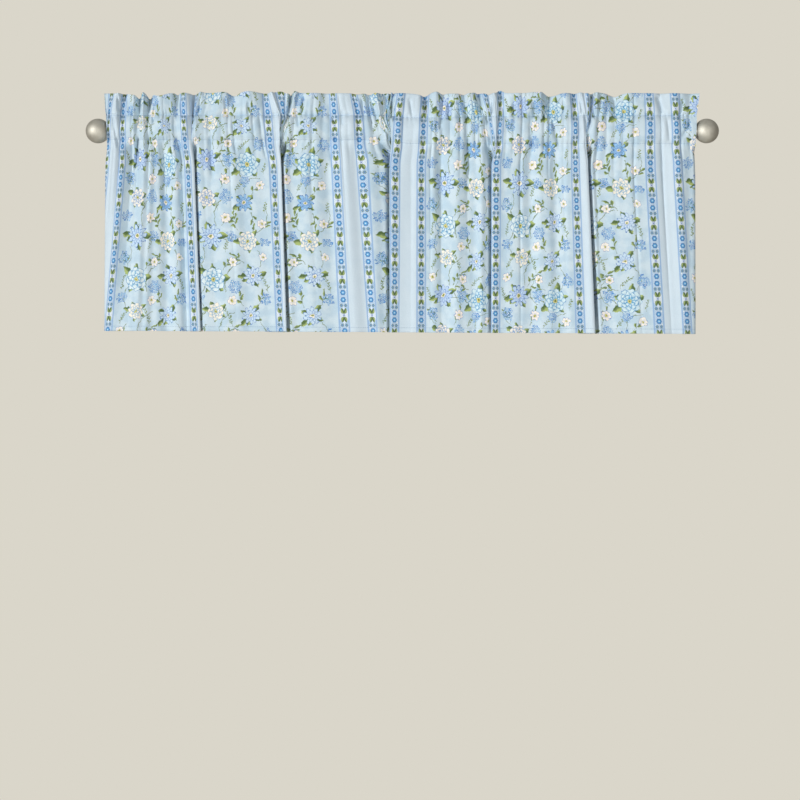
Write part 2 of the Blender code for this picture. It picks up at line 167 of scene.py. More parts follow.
def turned_ball(name, side):
    """A ball on a spigot, turned round the rod's axis."""
    shoulder = math.asin(ROD_RADIUS / BALL_RADIUS)
    start = ROD_HALF_LENGTH + SHOULDER_GAP
    foot = start - SPIGOT_LENGTH
    profile = [(foot, 0.0), (foot, SPIGOT_RADIUS - SPIGOT_BEVEL), (foot + SPIGOT_BEVEL, SPIGOT_RADIUS)]
    profile += [(start, SPIGOT_RADIUS), (start, ROD_RADIUS - SHOULDER_GAP)]
    for n in range(RINGS + 1):
        angle = shoulder + (math.pi - shoulder) * n / RINGS
        radius = BALL_RADIUS * math.sin(angle) if n < RINGS else 0.0
        profile.append((BALL_CENTRE - BALL_RADIUS * math.cos(angle), radius))
    bm = bmesh.new()
    verts = [bm.verts.new((side * x * MM, 0, radius * MM)) for x, radius in profile]
    edges = [bm.edges.new(pair) for pair in zip(verts, verts[1:])]
    about = {"cent": (0, 0, 0), "axis": (1, 0, 0), "angle": 2 * math.pi}
    bmesh.ops.spin(bm, geom=verts + edges, steps=72, use_merge=True, **about)
    bmesh.ops.remove_doubles(bm, verts=bm.verts, dist=1e-6)
    bmesh.ops.recalc_face_normals(bm, faces=bm.faces)
    mesh = bpy.data.meshes.new(name)
    bm.to_mesh(mesh)
    bm.free()
    mesh.shade_smooth()
    mesh.set_sharp_from_angle(angle=math.radians(30))
    return put(name, mesh)


finial_nickel = satin_nickel("finial_nickel", 0.62, (900.0, 500.0, 500.0))
for side_name, side in (("left", -1), ("right", 1)):
    finial = turned_ball(f"ball_finial_{side_name}", side)
    finial.data.materials.append(finial_nickel)
    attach(finial, "root")
    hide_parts(f"finial_{side_name}")

# ------------------------------------------------------------------------------
# The two widths of printed cotton. They are joined by a plain seam, hemmed all round, folded over at the top
# and stitched twice, which makes a ruffled header above and a pocket that the rod gathers the cloth on. Sizes
# are in millimetres. "flat" is the place across the cloth before it was gathered.

TOP_EDGE = 60.0
UPPER_SKIRT = -58.0
HEM_LEFT = -325.0
HEM_RIGHT = -330.3
HEM_DEPTH = 7.5
THICKNESS = 1.0
SIDE_BIT = 10.0
BORDER = 18.5
STRIPE = 29.5
PANEL = 138.0
REPEAT = PANEL + 2 * BORDER + STRIPE
SEAM = 757.0
RIGHT_LEAD = 40.5
FLAT_WIDTH = 1511.0
SAMPLE = 0.5

# How far in front of the rod's axis the cloth and its sewn lines hang.
FORWARD = 6.0
SEAM_FORWARD = 8.0
END_FLARE = 4.7
END_FLARE_REACH = 16.0

# The two sewn lines of the pocket aren't level: their heights at places along the rod, left to right.
Seam = namedtuple("Seam", "across header pocket")
SEAMS = [Seam(*row) for row in (
    (-484, 25, -15), (-30, 25, -15.5), (10, 21, -21), (75, 20.5, -21.5), (110, 23, -21.5), (480, 25, -21.5),
)]

# Where the middle of each printed border hangs at four heights, or None where a fold hides it.
Border = namedtuple("Border", "flat header rod upper hem")


def border_flat(lead, pair, second):
    """A pair of borders stands either side of each plain stripe."""
    return lead + BORDER / 2 + pair * REPEAT + second * (BORDER + STRIPE)


RIGHT = SEAM + RIGHT_LEAD
BORDER_ROWS = {
    SIDE_BIT: (
        (-471, -477, None, None), (-453, -454, -455, -479), (-356, -355, -348, -336), (-332, -340, None, None),
        (-221, -218, -208, -196), (-194, -192, None, None), (-113, -110, -107, -93), (-79, -72, -67, -47),
    ),
    RIGHT: (
        (-2, -6, -11, -13), (38, 35, 31, 31), (135, 142, None, None), (158, 158, 153, 151),
        (279, 281, 281, 289), (301, 302, None, None), (400, 402, 403, 418), (442, 444, 448, 464),
    ),
}
BORDERS = []
for lead, rows in BORDER_ROWS.items():
    BORDERS += [Border(border_flat(lead, *divmod(n, 2)), *row) for n, row in enumerate(rows)]

Side = namedtuple("Side", "flat header rod")
SIDES = (Side(0.0, -484, -481), Side(FLAT_WIDTH, 483, 478))

# Where the gathers swallow the cloth of the deep folds, at the header and the rod.
TUCKS = [Side(*row) for row in (
    (243, -345, -342), (297, -325, -333), (452, -213, -199), (470, -207, -196), (497, -184, -188),
    (545, -175, -184), (711, -58, -41), (752, -24, -29), (792, -13, -19), (969, 116, 124), (996, 124, 138),
    (1243, 291, 298), (1275, 303, 305), (1321, 313, 309),
)]

# The folds that hang over their neighbour: where the cloth goes out of sight, for how long, where the edge
# hangs, which way it looks, the depths where the hidden cloth starts and ends, and how wide the crevice is.
Pleat = namedtuple("Pleat", "turn hidden upper hem faces first last gap_above gap_below")
PLEATS = [Pleat(*row) for row in (
    (243, 54, -336, -326, 1, -10, 9, 0.8, 0.6), (452, 93, -195, -186.5, 1, -12, 12, 1.2, 3.5),
    (711, 84.5, -22.5, -22, -1, 9, -12, 2.0, 1.2), (988, 62, 143, 142.5, -1, 8, -11, 1.6, 1.2),
    (1243, 78, 303, 315, 1, -12, 12, 1.8, 4.0),
)]
OVERLAP = 0.37
COMES_FORWARD = 2.2

# The side edges, turned back behind the face.
Flap = namedtuple("Flap", "side upper_flat hem_flat upper hem back")
FLAPS = (Flap(-1, 14, 57, -484, -486, 11), Flap(1, 6, 26, 478, 478.5, 7))
FLAP_LIES_FLAT = 0.85
FLAP_PRESSES = 16.0
FLAP_BENDS = 9.0

# Ridges and troughs across the flat cloth: half-width, height at the four levels, and the lift of the top
# edge.
Ridge = namedtuple("Ridge", "flat width header rod upper hem lift")
RIDGES = [Ridge(*row) for row in (
    (45, 11, 7.3, 6, 7, 3, 0), (68, 12, -13, 2, 6, 6, 0), (93, 12, 2, 5, -3, 2, -2),
    (107, 7, -11, -1, 2, 4, -7), (120, 8, 9.4, 5, 6, 7, 1), (135, 7, -13, 0, 4, 5, -8),
    (158, 13, 6.5, 6, 2, 2, -4), (173, 12, 5.2, 6, -4, -5, -2), (190, 10, 3.9, 3, 3, 3, 0),
    (209, 5.5, -7.8, 0, -10, -11, -2), (226, 11, 3.1, 9, 9, 10, 1), (257, 12, -12, 2, 0, 0, -1),
    (290, 12, 7.8, 6, 3, 3, 2), (308, 9, 1.3, 1, 2, 3, 0), (342, 20, 5.2, 6, 5, 6, 2),
    (362, 11, -9, 4, 5, 3, -5), (392, 20, 7.8, 6, 4, 4, 3), (428, 12, -5.2, 2, 8, 7, 0),
    (455, 12, 6.5, 8, 0, 0, 2), (475, 7, -1.3, 4, 0, 0, 3), (510, 8, -13, 0, 0, 0, -2),
    (546, 9, 7.8, 5, 6, 5, 3), (585, 22, 7.8, 7, 5, 5, 0), (618, 8, -3.9, -2, -4, 0, 0),
    (650, 18, 3.9, 6, 6, 5, 0), (668, 12, 1.3, 6, -1, -1, 0), (690, 11, 2.6, 6, 6, 5, -2),
    (716, 6, -7.8, 0, 0, 0, -2), (730, 6, 7.8, 5, 0, 0, 0), (742, 6, -6.5, 1, 0, 0, 0),
    (767, 6, -7.8, 0, 0, 0, 0), (777, 6, 7.8, 5, 0, 0, 1), (785, 6, -9.1, 1, 0, 0, 0),
    (806, 14, 5.2, 7, 4, 3, 0), (845, 14, 2.6, 6, 4, 5, -2), (855, 9, -9.1, 1, 2, 0, -3),
    (880, 12, 9.1, 6, 2, 3, 2), (895, 9, -3.9, 2, -6, 0, -2), (925, 14, 6.5, 6, 6, 6, -1),
    (945, 8, -5.2, 3, 0, 2, -2), (958, 9, 6.5, 1, -1, 0, 0), (972, 8, 2.6, 5, 5, 4, 1),
    (992, 8, -10.4, 1, 0, 0, 0), (1022, 7, -5.2, 0, 0, 0, -2), (1042, 9, 9.1, 9, 0, 0, 0),
    (1060, 9, -6.5, 5, 5, 4, 5), (1095, 22, 6.5, 6, 4, 5, 0), (1126, 10, 5.2, 1, -4, 0, 1),
    (1145, 12, 7.8, 6, 5, 5, 2), (1162, 10, -9.1, 5, 3, 5, -4), (1176, 10, -1.3, 0, -4, 2, -3),
    (1200, 16, 6.5, 6, 6, 6, 0), (1217, 9, -9.1, 5, 3, 2, 0), (1239, 9, 6.5, 6, 0, 0, 1),
    (1262, 8, 5.2, 4, 0, 0, 0), (1290, 8, -11.7, 0, 0, 0, 0), (1323, 12, 7.8, 6, 4, 4, 1),
    (1358, 12, -7.8, 1, 3, 2, -5), (1386, 20, 5.2, 6, 5, 5, 0), (1420, 16, 3.9, 6, 4, 4, 0),
    (1446, 9, -2.6, 4, -1, 0, 0), (1468, 14, 3.9, 6, 5, 4, 0), (1496, 9, -5.2, 2, 0, 0, 0),
)]
GATHER_SOFTNESS = 4.0
RIDGE_SOFTNESS = 1.5
TURN_SOFTNESS = 1.8
EDGE_CURL = 2.6
EDGE_CURL_REACH = 6.0

# The sharp creases and small gathers, one row each: where it hangs, the heights it starts and ends at, how
# far it leans across on the way down, its half-width and its depth (negative for a small ridge).
Crease = namedtuple("Crease", "across top bottom lean width depth")
CREASES = [Crease(*row) for row in (
    (-482, 24, -30, -6, 2.5, 4), (-470, 26, -30, 10, 2.5, 5), (-463, 60, 30, 4, 2.5, 8.1),
    (-446, 58, 28, 3, 2, 5.4), (-427, 62, 24, 0, 2.2, 12.2), (-409, 62, 24, -8, 3, 12.2),
    (-399, 50, 24, -6, 1.8, 6.8), (-428, 22, -70, -7, 2, 7), (-405, 22, -8, 0, 2, 6), (-391, -8, -115, 0, 4, 4),
    (-372, 24, -60, 6, 2.5, 5), (-360, 62, 22, 2, 2.5, 9.5), (-341, 62, 20, 0, 2, 10.8),
    (-340, 24, -60, -1, 2, 6), (-328, 56, 26, -3, 1.8, 5.4), (-314, 24, -80, 5, 3, 6),
    (-288, 54, 26, 2, 2, 4.1), (-276, 20, -40, 3, 2, 3), (-250, 46, 24, 0, 2, 6.8), (-232, 26, -50, 4, 2.2, 4),
    (-196, 26, -64, 3, 1.8, 6), (-189, 24, -76, 3, 1.6, 7), (-181, 64, 18, -2, 2.2, 17.6),
    (-173, 32, 6, 6, 1.6, 5), (-160, 56, 26, -3, 2, 6.8), (-113, 26, -20, 3, 2, 9), (-119, -20, -60, 4, 3, 4),
    (-97, 34, 6, 0, 2, 5), (-66, 52, 24, 3, 1.8, 6.8), (-57, 56, 22, 4, 1.8, 8.1), (-54, 26, -10, 8, 2, 7),
    (-36, 22, -4, 1, 2, 6), (-29, -4, -36, 0, 1.8, 7), (-26, 60, 26, 0, 1.6, 8.1), (-19, 60, 20, 2, 1.8, 14.9),
    (-12, 40, 14, -2, 1.6, 6.8), (12, 52, 22, 4, 2, 4.1), (33, 62, 24, 8, 2.4, 10.8), (46, 44, 20, -4, 2, 5.4),
    (62, 30, 0, 0, 2, 7), (60, -12, -115, 3, 4, 4), (75, 46, 18, 0, 2, 6.8), (92, 30, 6, 2, 1.8, 4),
    (104, 28, -82, 3, 2.6, 6), (119, 60, 24, 10, 2, 13.5), (137, 28, -30, 2, 1.8, 8),
    (148, 56, 24, -3, 1.8, 6.8), (163, 40, 22, 3, 2, 5.4), (180, 44, 22, 0, 2, 6.8), (208, 18, -32, 3, 2.6, 5),
    (213, 46, 20, 3, 2.2, 10.8), (233, 54, 22, 4, 3, 8.1), (243, 18, -26, 12, 2.4, 6), (262, 50, 26, 0, 2, 4.1),
    (289, 52, 24, 3, 1.8, 6.8), (309, 64, 20, 3, 2, 16.2), (296, 26, -30, 5, 1.8, 6), (304, 26, -60, 4, 1.6, 8),
    (322, 56, 24, -3, 2, 6.8), (342, 54, 20, 5, 2.6, 10.8), (368, 40, 24, 2, 2, 4.1), (414, 56, 26, 8, 3, 6.8),
    (430, 20, -20, 3, 2.4, 3), (456, 50, 26, -4, 2, 5.4), (468, 10, -10, -14, 2.4, 5),
    (474, -22, -186, 0, 2.6, 4),
)]
GATHER_SPACING = (9.0, 24.0)
GATHER_DEPTH = (1.0, 4.4)
GATHER_WIDTH = (2.2, 4.2)
GATHER_ABOVE = (14, 50)
SHORT_TAIL = (10, 40)
LONG_TAIL = (60, 220)
SHORT_TAILS = 0.6
GATHER_REACH = 14


def bell(distance, width):
    return np.exp(-((distance / width) ** 2))


def smooth_step(value):
    t = np.clip(value, 0, 1)
    return t * t * (3 - 2 * t)


def soften(values, radius):
    """Rounds a sampled line with a bell-shaped average of the given radius."""
    reach = int(math.ceil(3 * radius / SAMPLE))
    offsets = np.arange(-reach, reach + 1) * SAMPLE
    weights = np.exp(-((offsets / radius) ** 2) / 2)
    start = 2 * values[0] - values[reach:0:-1]
    end = 2 * values[-1] - values[-2 : -reach - 2 : -1]
    return np.convolve(np.concatenate([start, values, end]), weights / weights.sum(), mode="valid")


def between(row, down):
    """A table row's place, part of the way down from the upper skirt to the hem."""
    return row.upper + (row.hem - row.upper) * down


def curl(distance):
    """The extra depth that rounds a folded edge: forward before the turn and back after it."""
    near = distance / EDGE_CURL_REACH
    return EDGE_CURL * near * np.exp(0.5 - near**2 / 2)


def gathered_line(flat, level):
    """The cloth's line seen from above, at the header or the rod, where nothing overlaps."""
    rows = [(edge.flat, getattr(edge, level)) for edge in (*SIDES, *TUCKS)]
    rows += [(border.flat, getattr(border, level)) for border in BORDERS]
    rows.sort()
    across = np.interp(flat, [row[0] for row in rows], [row[1] for row in rows])
    depth = np.full_like(flat, -FORWARD)
    for ridge in RIDGES:
        depth -= getattr(ridge, level) * bell(flat - ridge.flat, ridge.width)
    return soften(across, GATHER_SOFTNESS), soften(depth, RIDGE_SOFTNESS)


def hanging_line(flat, down):
    """The skirt's line seen from above, with its overlapping folds; down goes from 0 to 1 at the hem."""
    left, right = FLAPS
    left_turn = left.upper_flat + (left.hem_flat - left.upper_flat) * down
    right_turn = FLAT_WIDTH - right.upper_flat - (right.hem_flat - right.upper_flat) * down
    rows = [(border.flat, between(border, down)) for border in BORDERS if border.upper is not None]
    rows += [(left_turn, between(left, down)), (right_turn, between(right, down))]
    for pleat in PLEATS:
        step_in, step_out = (0.0, 1.0) if pleat.faces > 0 else (-1.0, 0.0)
        rows += [(pleat.turn, between(pleat, down) + step_in)]
        rows += [(pleat.turn + pleat.hidden, between(pleat, down) + step_out)]
    rows.sort()
    across = np.interp(flat, [row[0] for row in rows], [row[1] for row in rows])
    depth = np.full_like(flat, -FORWARD)
    for ridge in RIDGES:
        depth -= between(ridge, down) * bell(flat - ridge.flat, ridge.width)
    for pleat in PLEATS:
        along = (flat - pleat.turn) / pleat.hidden
        reach = OVERLAP * pleat.hidden
        through = np.clip(along, 0, 1)
        # The cloth comes to its edge slowly, and the cloth behind leaves the crevice at once.
        past = (flat - pleat.turn - pleat.hidden) if pleat.faces > 0 else (pleat.turn - flat)
        early = 2 * COMES_FORWARD - pleat.gap_above - (pleat.gap_below - pleat.gap_above) * down
        beside = np.maximum(-past - pleat.hidden, 0)
        pressed = bell(beside, 1.35 * reach) * bell(np.maximum(past + early, 0), COMES_FORWARD)
        across -= pleat.faces * reach * np.sin(math.pi * through)
        depth = depth * (1 - pressed) + pressed * (pleat.first + (pleat.last - pleat.first) * through)
        outer = pleat.turn if pleat.faces > 0 else pleat.turn + pleat.hidden
        depth += pleat.faces * curl(flat - outer)
    for flap, turn in ((left, left_turn), (right, right_turn)):
        beyond = np.maximum(0.0, flap.side * (flat - turn))
        across = np.where(beyond > 0, between(flap, down) - flap.side * FLAP_LIES_FLAT * beyond, across)
        pressed = bell(np.minimum(0.0, flap.side * (flat - turn)), FLAP_PRESSES)
        depth = depth * (1 - pressed) + flap.back * (1 - np.exp(-beyond / FLAP_BENDS))
        depth += curl(flap.side * (flat - turn))
    return soften(across, TURN_SOFTNESS), soften(depth, TURN_SOFTNESS)


flat_line = np.arange(0.0, FLAT_WIDTH + SAMPLE / 2, SAMPLE)
header_line = gathered_line(flat_line, "header")
rod_line = gathered_line(flat_line, "rod")
upper_line = hanging_line(flat_line, 0.0)
bottom_edge = HEM_LEFT + (HEM_RIGHT - HEM_LEFT) * flat_line / FLAT_WIDTH
top_edge = np.full_like(flat_line, TOP_EDGE)
for ridge in RIDGES:
    top_edge += ridge.lift * bell(flat_line - ridge.flat, ridge.width)
end_flare = END_FLARE * bell(flat_line, END_FLARE_REACH)
places = [seam.across for seam in SEAMS]
header_seam = np.interp(rod_line[0], places, [seam.header for seam in SEAMS])
pocket_seam = np.interp(rod_line[0], places, [seam.pocket for seam in SEAMS]) - end_flare
seam_depth = 0.3 * (header_line[1] + FORWARD) + 0.2 * (rod_line[1] + FORWARD) - SEAM_FORWARD

# The small gathers that two rows of stitching make, at uneven distances.
Gather = namedtuple("Gather", "flat depth width above below")
chance = random.Random(11)
gathers = []
place = 4.0
while place < FLAT_WIDTH - 4:
    sunk = chance.uniform(*GATHER_DEPTH)
    below = chance.uniform(*(SHORT_TAIL if chance.random() < SHORT_TAILS else LONG_TAIL))
    gathers.append(Gather(place, sunk, chance.uniform(*GATHER_WIDTH), chance.uniform(*GATHER_ABOVE), below))
    place += chance.uniform(*GATHER_SPACING)

# The puckers that the header's stitching draws in.
pucker = np.zeros_like(flat_line)
place = 3.0
while place < FLAT_WIDTH - 3:
    pucker += chance.uniform(0.5, 2.4) * bell(flat_line - place, chance.uniform(1.8, 3.2))
    place += chance.uniform(5.0, 13.0)


def groove(distance, width):
    """A sharp-bottomed groove's share of its depth."""
    return np.exp(-(np.abs(distance / width) ** 1.5))


def crease_depth(height, along):
    """How far the creases and small gathers sink in, at one height and place along the rod for each place."""
    depth = np.zeros_like(flat_line)
    for crease in CREASES:
        down = (crease.top - height) / (crease.top - crease.bottom)
        present = smooth_step(np.minimum(down, 1 - down) * 4 + 0.2) * (np.abs(down - 0.5) < 0.55)
        depth += crease.depth * present * groove(along - crease.across - crease.lean * down, crease.width)
    for gather in gathers:
        near = np.abs(flat_line - gather.flat) < GATHER_REACH
        over, under = height[near] - header_seam[near], pocket_seam[near] - height[near]
        inside = np.minimum(-over, -under)
        fade = np.exp(-np.maximum(over, 0) / gather.above) * np.exp(-np.maximum(under, 0) / gather.below)
        fade = fade * (1 - 0.35 * smooth_step(inside / 12))
        depth[near] += gather.depth * fade * groove(flat_line[near] - gather.flat, gather.width)
    # The stitching holds each sewn line a little lower than the cloth beside it.
    depth += pucker * bell(height - header_seam, 6.0)
    depth += 0.6 * bell(height - header_seam, 2.0)
    return depth + 0.4 * pucker * bell(height - pocket_seam, 4.0)


def hull(height, radius, side):
    """How far the pocket stands off the rod's axis: round it, then straight to each sewn line."""
    seam = side * seam_depth
    bulge = np.sqrt(np.maximum(radius**2 - height**2, 0))
    for apex, up in ((header_seam - 1.5, 1), (pocket_seam + 1.0, -1)):
        turn = np.arctan2(seam, up * apex) + np.arccos(radius / np.hypot(seam, apex))
        touch, touch_height = radius * np.sin(turn), up * radius * np.cos(turn)
        along = np.minimum((height - touch_height) / (apex - touch_height), 1.0)
        bulge = np.where(along > 0, touch + (seam - touch) * along, bulge)
    return bulge


# The folds start to lean over each other in the pocket, and the cloth lies slack over the rod's front.
SHEARED = 0.3
RUFFLE_BULGE = 3.5
BULGES_AT = 0.3
DEEPEST_CREASE = 9.0
LOOPS_OVER = 3.0
LOOP_DEPTH = 4.0
POCKET_SLACK = 1.2


def skirt_row(share):
    """A row of the skirt, from the bottom edge (0) to the pocket seam (1)."""
    height = bottom_edge + (pocket_seam - bottom_edge) * share
    below = (pocket_seam - height) / (pocket_seam - UPPER_SKIRT)
    pleated, pressed = smooth_step(below), smooth_step(2.6 * below)
    pleated = SHEARED + (1 - SHEARED) * pleated
    down = min(1.0, max(0.0, (UPPER_SKIRT - height.mean()) / (UPPER_SKIRT - bottom_edge.mean())))
    across, depth = hanging_line(flat_line, down)
    across = rod_line[0] + (across - rod_line[0]) * pleated
    depth = seam_depth + (depth - seam_depth) * pressed
    hem = 0.5 * bell(height - bottom_edge - HEM_DEPTH, 1.3)
    return across, depth + crease_depth(height, rod_line[0]) + hem, height


def header_row(share):
    """A row of the header, from its seam (0) to the top edge (1)."""
    height = header_seam + (top_edge - header_seam) * share
    across = rod_line[0] + (header_line[0] - rod_line[0]) * share
    depth = seam_depth + (header_line[1] - seam_depth) * share
    # The ruffle stands forward over its stitching before it rises.
    depth = depth - RUFFLE_BULGE * share / BULGES_AT * math.exp(1 - share / BULGES_AT)
    sunk = crease_depth(height, across)
    depth += DEEPEST_CREASE * np.tanh(sunk / DEEPEST_CREASE)
    # A crease draws in only so much cloth, so behind the rod's middle its bottom turns over in a soft loop.
    past = np.maximum(depth - LOOPS_OVER, 0)
    return across, depth - past + LOOP_DEPTH * np.tanh(past / LOOP_DEPTH), height


def pocket_row(share, side):
    """A row of the pocket, from its bottom seam (0) to the header seam (1), in front (-1) or behind (1)."""
    radius = ROD_RADIUS + 0.6 + end_flare
    height = pocket_seam + (header_seam - pocket_seam) * share
    full = 1 - abs(2 * share - 1) ** 3
    across = rod_line[0] + (upper_line[0] - rod_line[0]) * SHEARED * smooth_step(1 - share)
    ridge = np.maximum(-(rod_line[1] + FORWARD), 0) * (0.7 if side < 0 else 0.4)
    slack = ridge * full + (POCKET_SLACK * full if side < 0 else 0)
    sunk = crease_depth(height, rod_line[0])
    room = 1 - smooth_step((np.abs(height) - 9.0) / 5.0)
    sunk = sunk - np.maximum(sunk - slack - 0.4, 0) * room
    # It starts and ends flush with the cloth beyond its seams.
    edge = smooth_step(6 * min(share, 1 - share))
    apart, moved = (0.5 * edge, sunk) if side < 0 else (1.0 - 0.5 * edge, sunk * (1 - 1.5 * edge))
    return across, side * (hull(height, radius, side) + apart + slack) + moved, height


# Lengths along the cloth: the skirt, the pocket, the header, and what each turn between two layers takes up.
skirt_length = pocket_seam.mean() - bottom_edge.mean()
hem_share = HEM_DEPTH / skirt_length
POCKET = 45
HEADER = 36
TURN_OVER = 1


def cloth_rows():
    """Every row of the cloth, from the raw edge in the hem up the front, over the top and down the back."""
    rows = []
    for share in (1.15, 1.0, 0.66, 0.33):
        across, depth, height = skirt_row(hem_share * share)
        rows.append(((across, depth + 0.9, height), -HEM_DEPTH * share))
    across, depth, height = skirt_row(0.0)
    rows.append(((across, depth + 0.75, height + 0.3), -0.6))
    rows.append(((across, depth + 0.35, height - 0.1), -0.3))
    skirt = np.concatenate([[0.0, 0.35, 0.8], np.linspace(1.0, 1.5, 3)]) * hem_share
    skirt = np.concatenate([skirt, np.linspace(skirt[-1], 0.86, 70)[1:], np.linspace(0.86, 1.0, 21)[1:]])
    rows += [(skirt_row(share), skirt_length * share) for share in skirt]
    length = skirt_length
    pocket = 0.5 - 0.5 * np.cos(np.linspace(0, math.pi, 24))
    rows += [(pocket_row(share, -1), length + POCKET * share) for share in pocket[1:-1]]
    length += POCKET
    header = np.linspace(0, 1, 20) ** 1.4
    rows += [(header_row(share), length + HEADER * share) for share in header]
    length += HEADER
    across, depth, height = header_row(1.0)
    rows.append(((across, depth + 0.5, height + 0.25), length + 0.6 * TURN_OVER))
    length += TURN_OVER
    rows += [(behind(header_row(share)), length + HEADER * (1 - share)) for share in np.linspace(1, 0, 9)]
    length += HEADER
    rows += [(pocket_row(share, 1), length + POCKET * (1 - share)) for share in pocket[-2:0:-2]]
    length += POCKET + TURN_OVER
    rows += [(behind(skirt_row(share)), length + 300 * (1 - share)) for share in (0.998, 0.988)]
    return rows


def behind(row):
    """The same row on the folded-over cloth at the back, one thickness further from the room."""
    across, depth, height = row
    return across, depth + THICKNESS, height


rows_of_cloth = cloth_rows()
COLUMNS = 540
# How far apart the columns may be on straight cloth, and how far it may turn from one to the next.
STRAIGHT_STEP = 1.9
TURN_PER_COLUMN = math.radians(16)

# The print hangs higher on the right-hand width, because the two were cut from different places of the bolt.
PRINT_UP = {"left": 57.7, "right": 149.0}
PRINT_START = {"left": SIDE_BIT + 2 * BORDER + STRIPE, "right": RIGHT + 2 * BORDER + STRIPE}


def column_places(start, end):
    """Places across the flat cloth for the grid's columns, closer together where the cloth turns."""
    effort = np.full_like(flat_line, 1 / STRAIGHT_STEP)
    for across, depth, _ in (header_row(0.4), pocket_row(0.5, -1), *map(skirt_row, (0.93, 0.4, 0.0))):
        heading = np.unwrap(np.arctan2(np.gradient(depth), np.gradient(across)))
        effort += np.minimum(0.25 * np.abs(np.gradient(heading)) / TURN_PER_COLUMN / SAMPLE, 0.8)
    here = (flat_line >= start - SAMPLE / 2) & (flat_line <= end + SAMPLE / 2)
    flat, effort = flat_line[here], effort[here]
    travelled = np.concatenate([[0], np.cumsum((effort[1:] + effort[:-1]) / 2)])
    return np.interp(np.linspace(0, travelled[-1], COLUMNS + 1), travelled, flat)


def make_width(side_name, start, end):
    """One width of the cloth: a grid laid on the folds, with its print's own coordinates."""
    name = f"cotton_{side_name}_width"
    bm = bmesh.new()
    bmesh.ops.create_grid(bm, x_segments=COLUMNS, y_segments=len(rows_of_cloth) - 1, size=1.0)
    mesh = bpy.data.meshes.new(name)
    bm.to_mesh(mesh)
    bm.free()
    columns = column_places(start, end)
    places = np.empty((len(rows_of_cloth), COLUMNS + 1, 3))
    prints = np.empty((len(rows_of_cloth), COLUMNS + 1, 2))
    for n, (row, length) in enumerate(rows_of_cloth):
        for axis in range(3):
            places[n, :, axis] = np.interp(columns, flat_line, row[axis])
        prints[n, :, 0] = columns - PRINT_START[side_name]
        prints[n, :, 1] = length - PRINT_UP[side_name]
    mesh.vertices.foreach_set("co", (places * MM).ravel())
    layer = mesh.uv_layers.new(name="print")
    corners = np.empty(len(mesh.loops), dtype=np.int32)
    mesh.loops.foreach_get("vertex_index", corners)
    layer.data.foreach_set("uv", (prints * MM).reshape(-1, 2)[corners].ravel())
    lengths = np.array([length for _, length in rows_of_cloth])
    charted = np.empty_like(prints)
    charted[:, :, 0] = 0.01 + 0.98 * (columns - start) / (end - start)
    charted[:, :, 1] = (0.01 + 0.98 * (lengths - lengths[0]) / (lengths[-1] - lengths[0]))[:, None]
    layer = mesh.uv_layers.new(name="OFBake")
    layer.data.foreach_set("uv", charted.reshape(-1, 2)[corners].ravel())
    mesh.update()
    mesh.shade_smooth()
    cloth = put(name, mesh)
    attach(cloth, "root")
    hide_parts(f"valance_{side_name}_width")
    return cloth


# Dull blue cotton thread, darker than the cloth, so that its colour is partly its own and partly painted shade
# along the seams:
# lockstitches 3 mm long along both sewn lines of the pocket, the hem and the two side hems, which show on both
# faces of the cloth. Each stitch is a thin spindle, half sunk in.
STITCH_STEP = 3.0
STITCH_LENGTH = 2.3
STITCH_THICKNESS = 0.5
STITCH_STANDS_OUT = 0.08
FIRST_STITCH = 2.0
SIDE_HEM = 8.0
SIDE_HEM_STOPS = 210


def spindle():
    """One stitch along X, of radius 1 each way: its points and its faces."""
    bm = bmesh.new()
    lying = Matrix.Rotation(math.pi / 2, 4, "Y")
    bmesh.ops.create_uvsphere(bm, u_segments=5, v_segments=4, radius=1.0, matrix=lying)
    bmesh.ops.recalc_face_normals(bm, faces=bm.faces)
    points = np.array([vert.co for vert in bm.verts])
    faces = [[vert.index for vert in face.verts] for face in bm.faces]
    bm.free()
    return points, faces


def sew(name, starts, ends):
    """Stitches between pairs of points, as one mesh."""
    shape, faces = spindle()
    run = ends - starts
    length = np.linalg.norm(run, axis=1, keepdims=True)
    run = run / length
    aside = np.where(np.abs(run[:, 2:]) < 0.9, [[0.0, 0.0, 1.0]], [[0.0, 1.0, 0.0]])
    aside = np.cross(aside, run)
    aside /= np.linalg.norm(aside, axis=1, keepdims=True)
    axes = (run * length / 2, aside * STITCH_THICKNESS / 2, np.cross(run, aside) * STITCH_THICKNESS / 2)
    points = ((starts + ends) / 2)[:, None, :]
    for n, axis in enumerate(axes):
        points = points + shape[None, :, n, None] * axis[:, None, :]
    shifted = [[index + n * len(shape) for index in face] for n in range(len(starts)) for face in faces]
    mesh = bpy.data.meshes.new(name)
    mesh.from_pydata((points * MM).reshape(-1, 3).tolist(), [], shifted)
    mesh.shade_smooth()
    mesh.materials.append(thread)
    sewn = put(name, mesh)
    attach(sewn, "root")
    return sewn


def sewn_line(name, travelled, line, length):
    """Stitches along a line of points, on the front and the back of the cloth."""
    middles = np.arange(FIRST_STITCH, length - FIRST_STITCH, STITCH_STEP)
    starts, ends = [
        np.column_stack([np.interp(middles + half, travelled, places) for places in line])
        for half in (-STITCH_LENGTH / 2, STITCH_LENGTH / 2)
    ]
    front, back = -STITCH_STANDS_OUT, THICKNESS + STITCH_STANDS_OUT
    faces = np.repeat([[0.0, front, 0.0], [0.0, back, 0.0]], len(middles), axis=0)
    return sew(name, np.tile(starts, (2, 1)) + faces, np.tile(ends, (2, 1)) + faces)


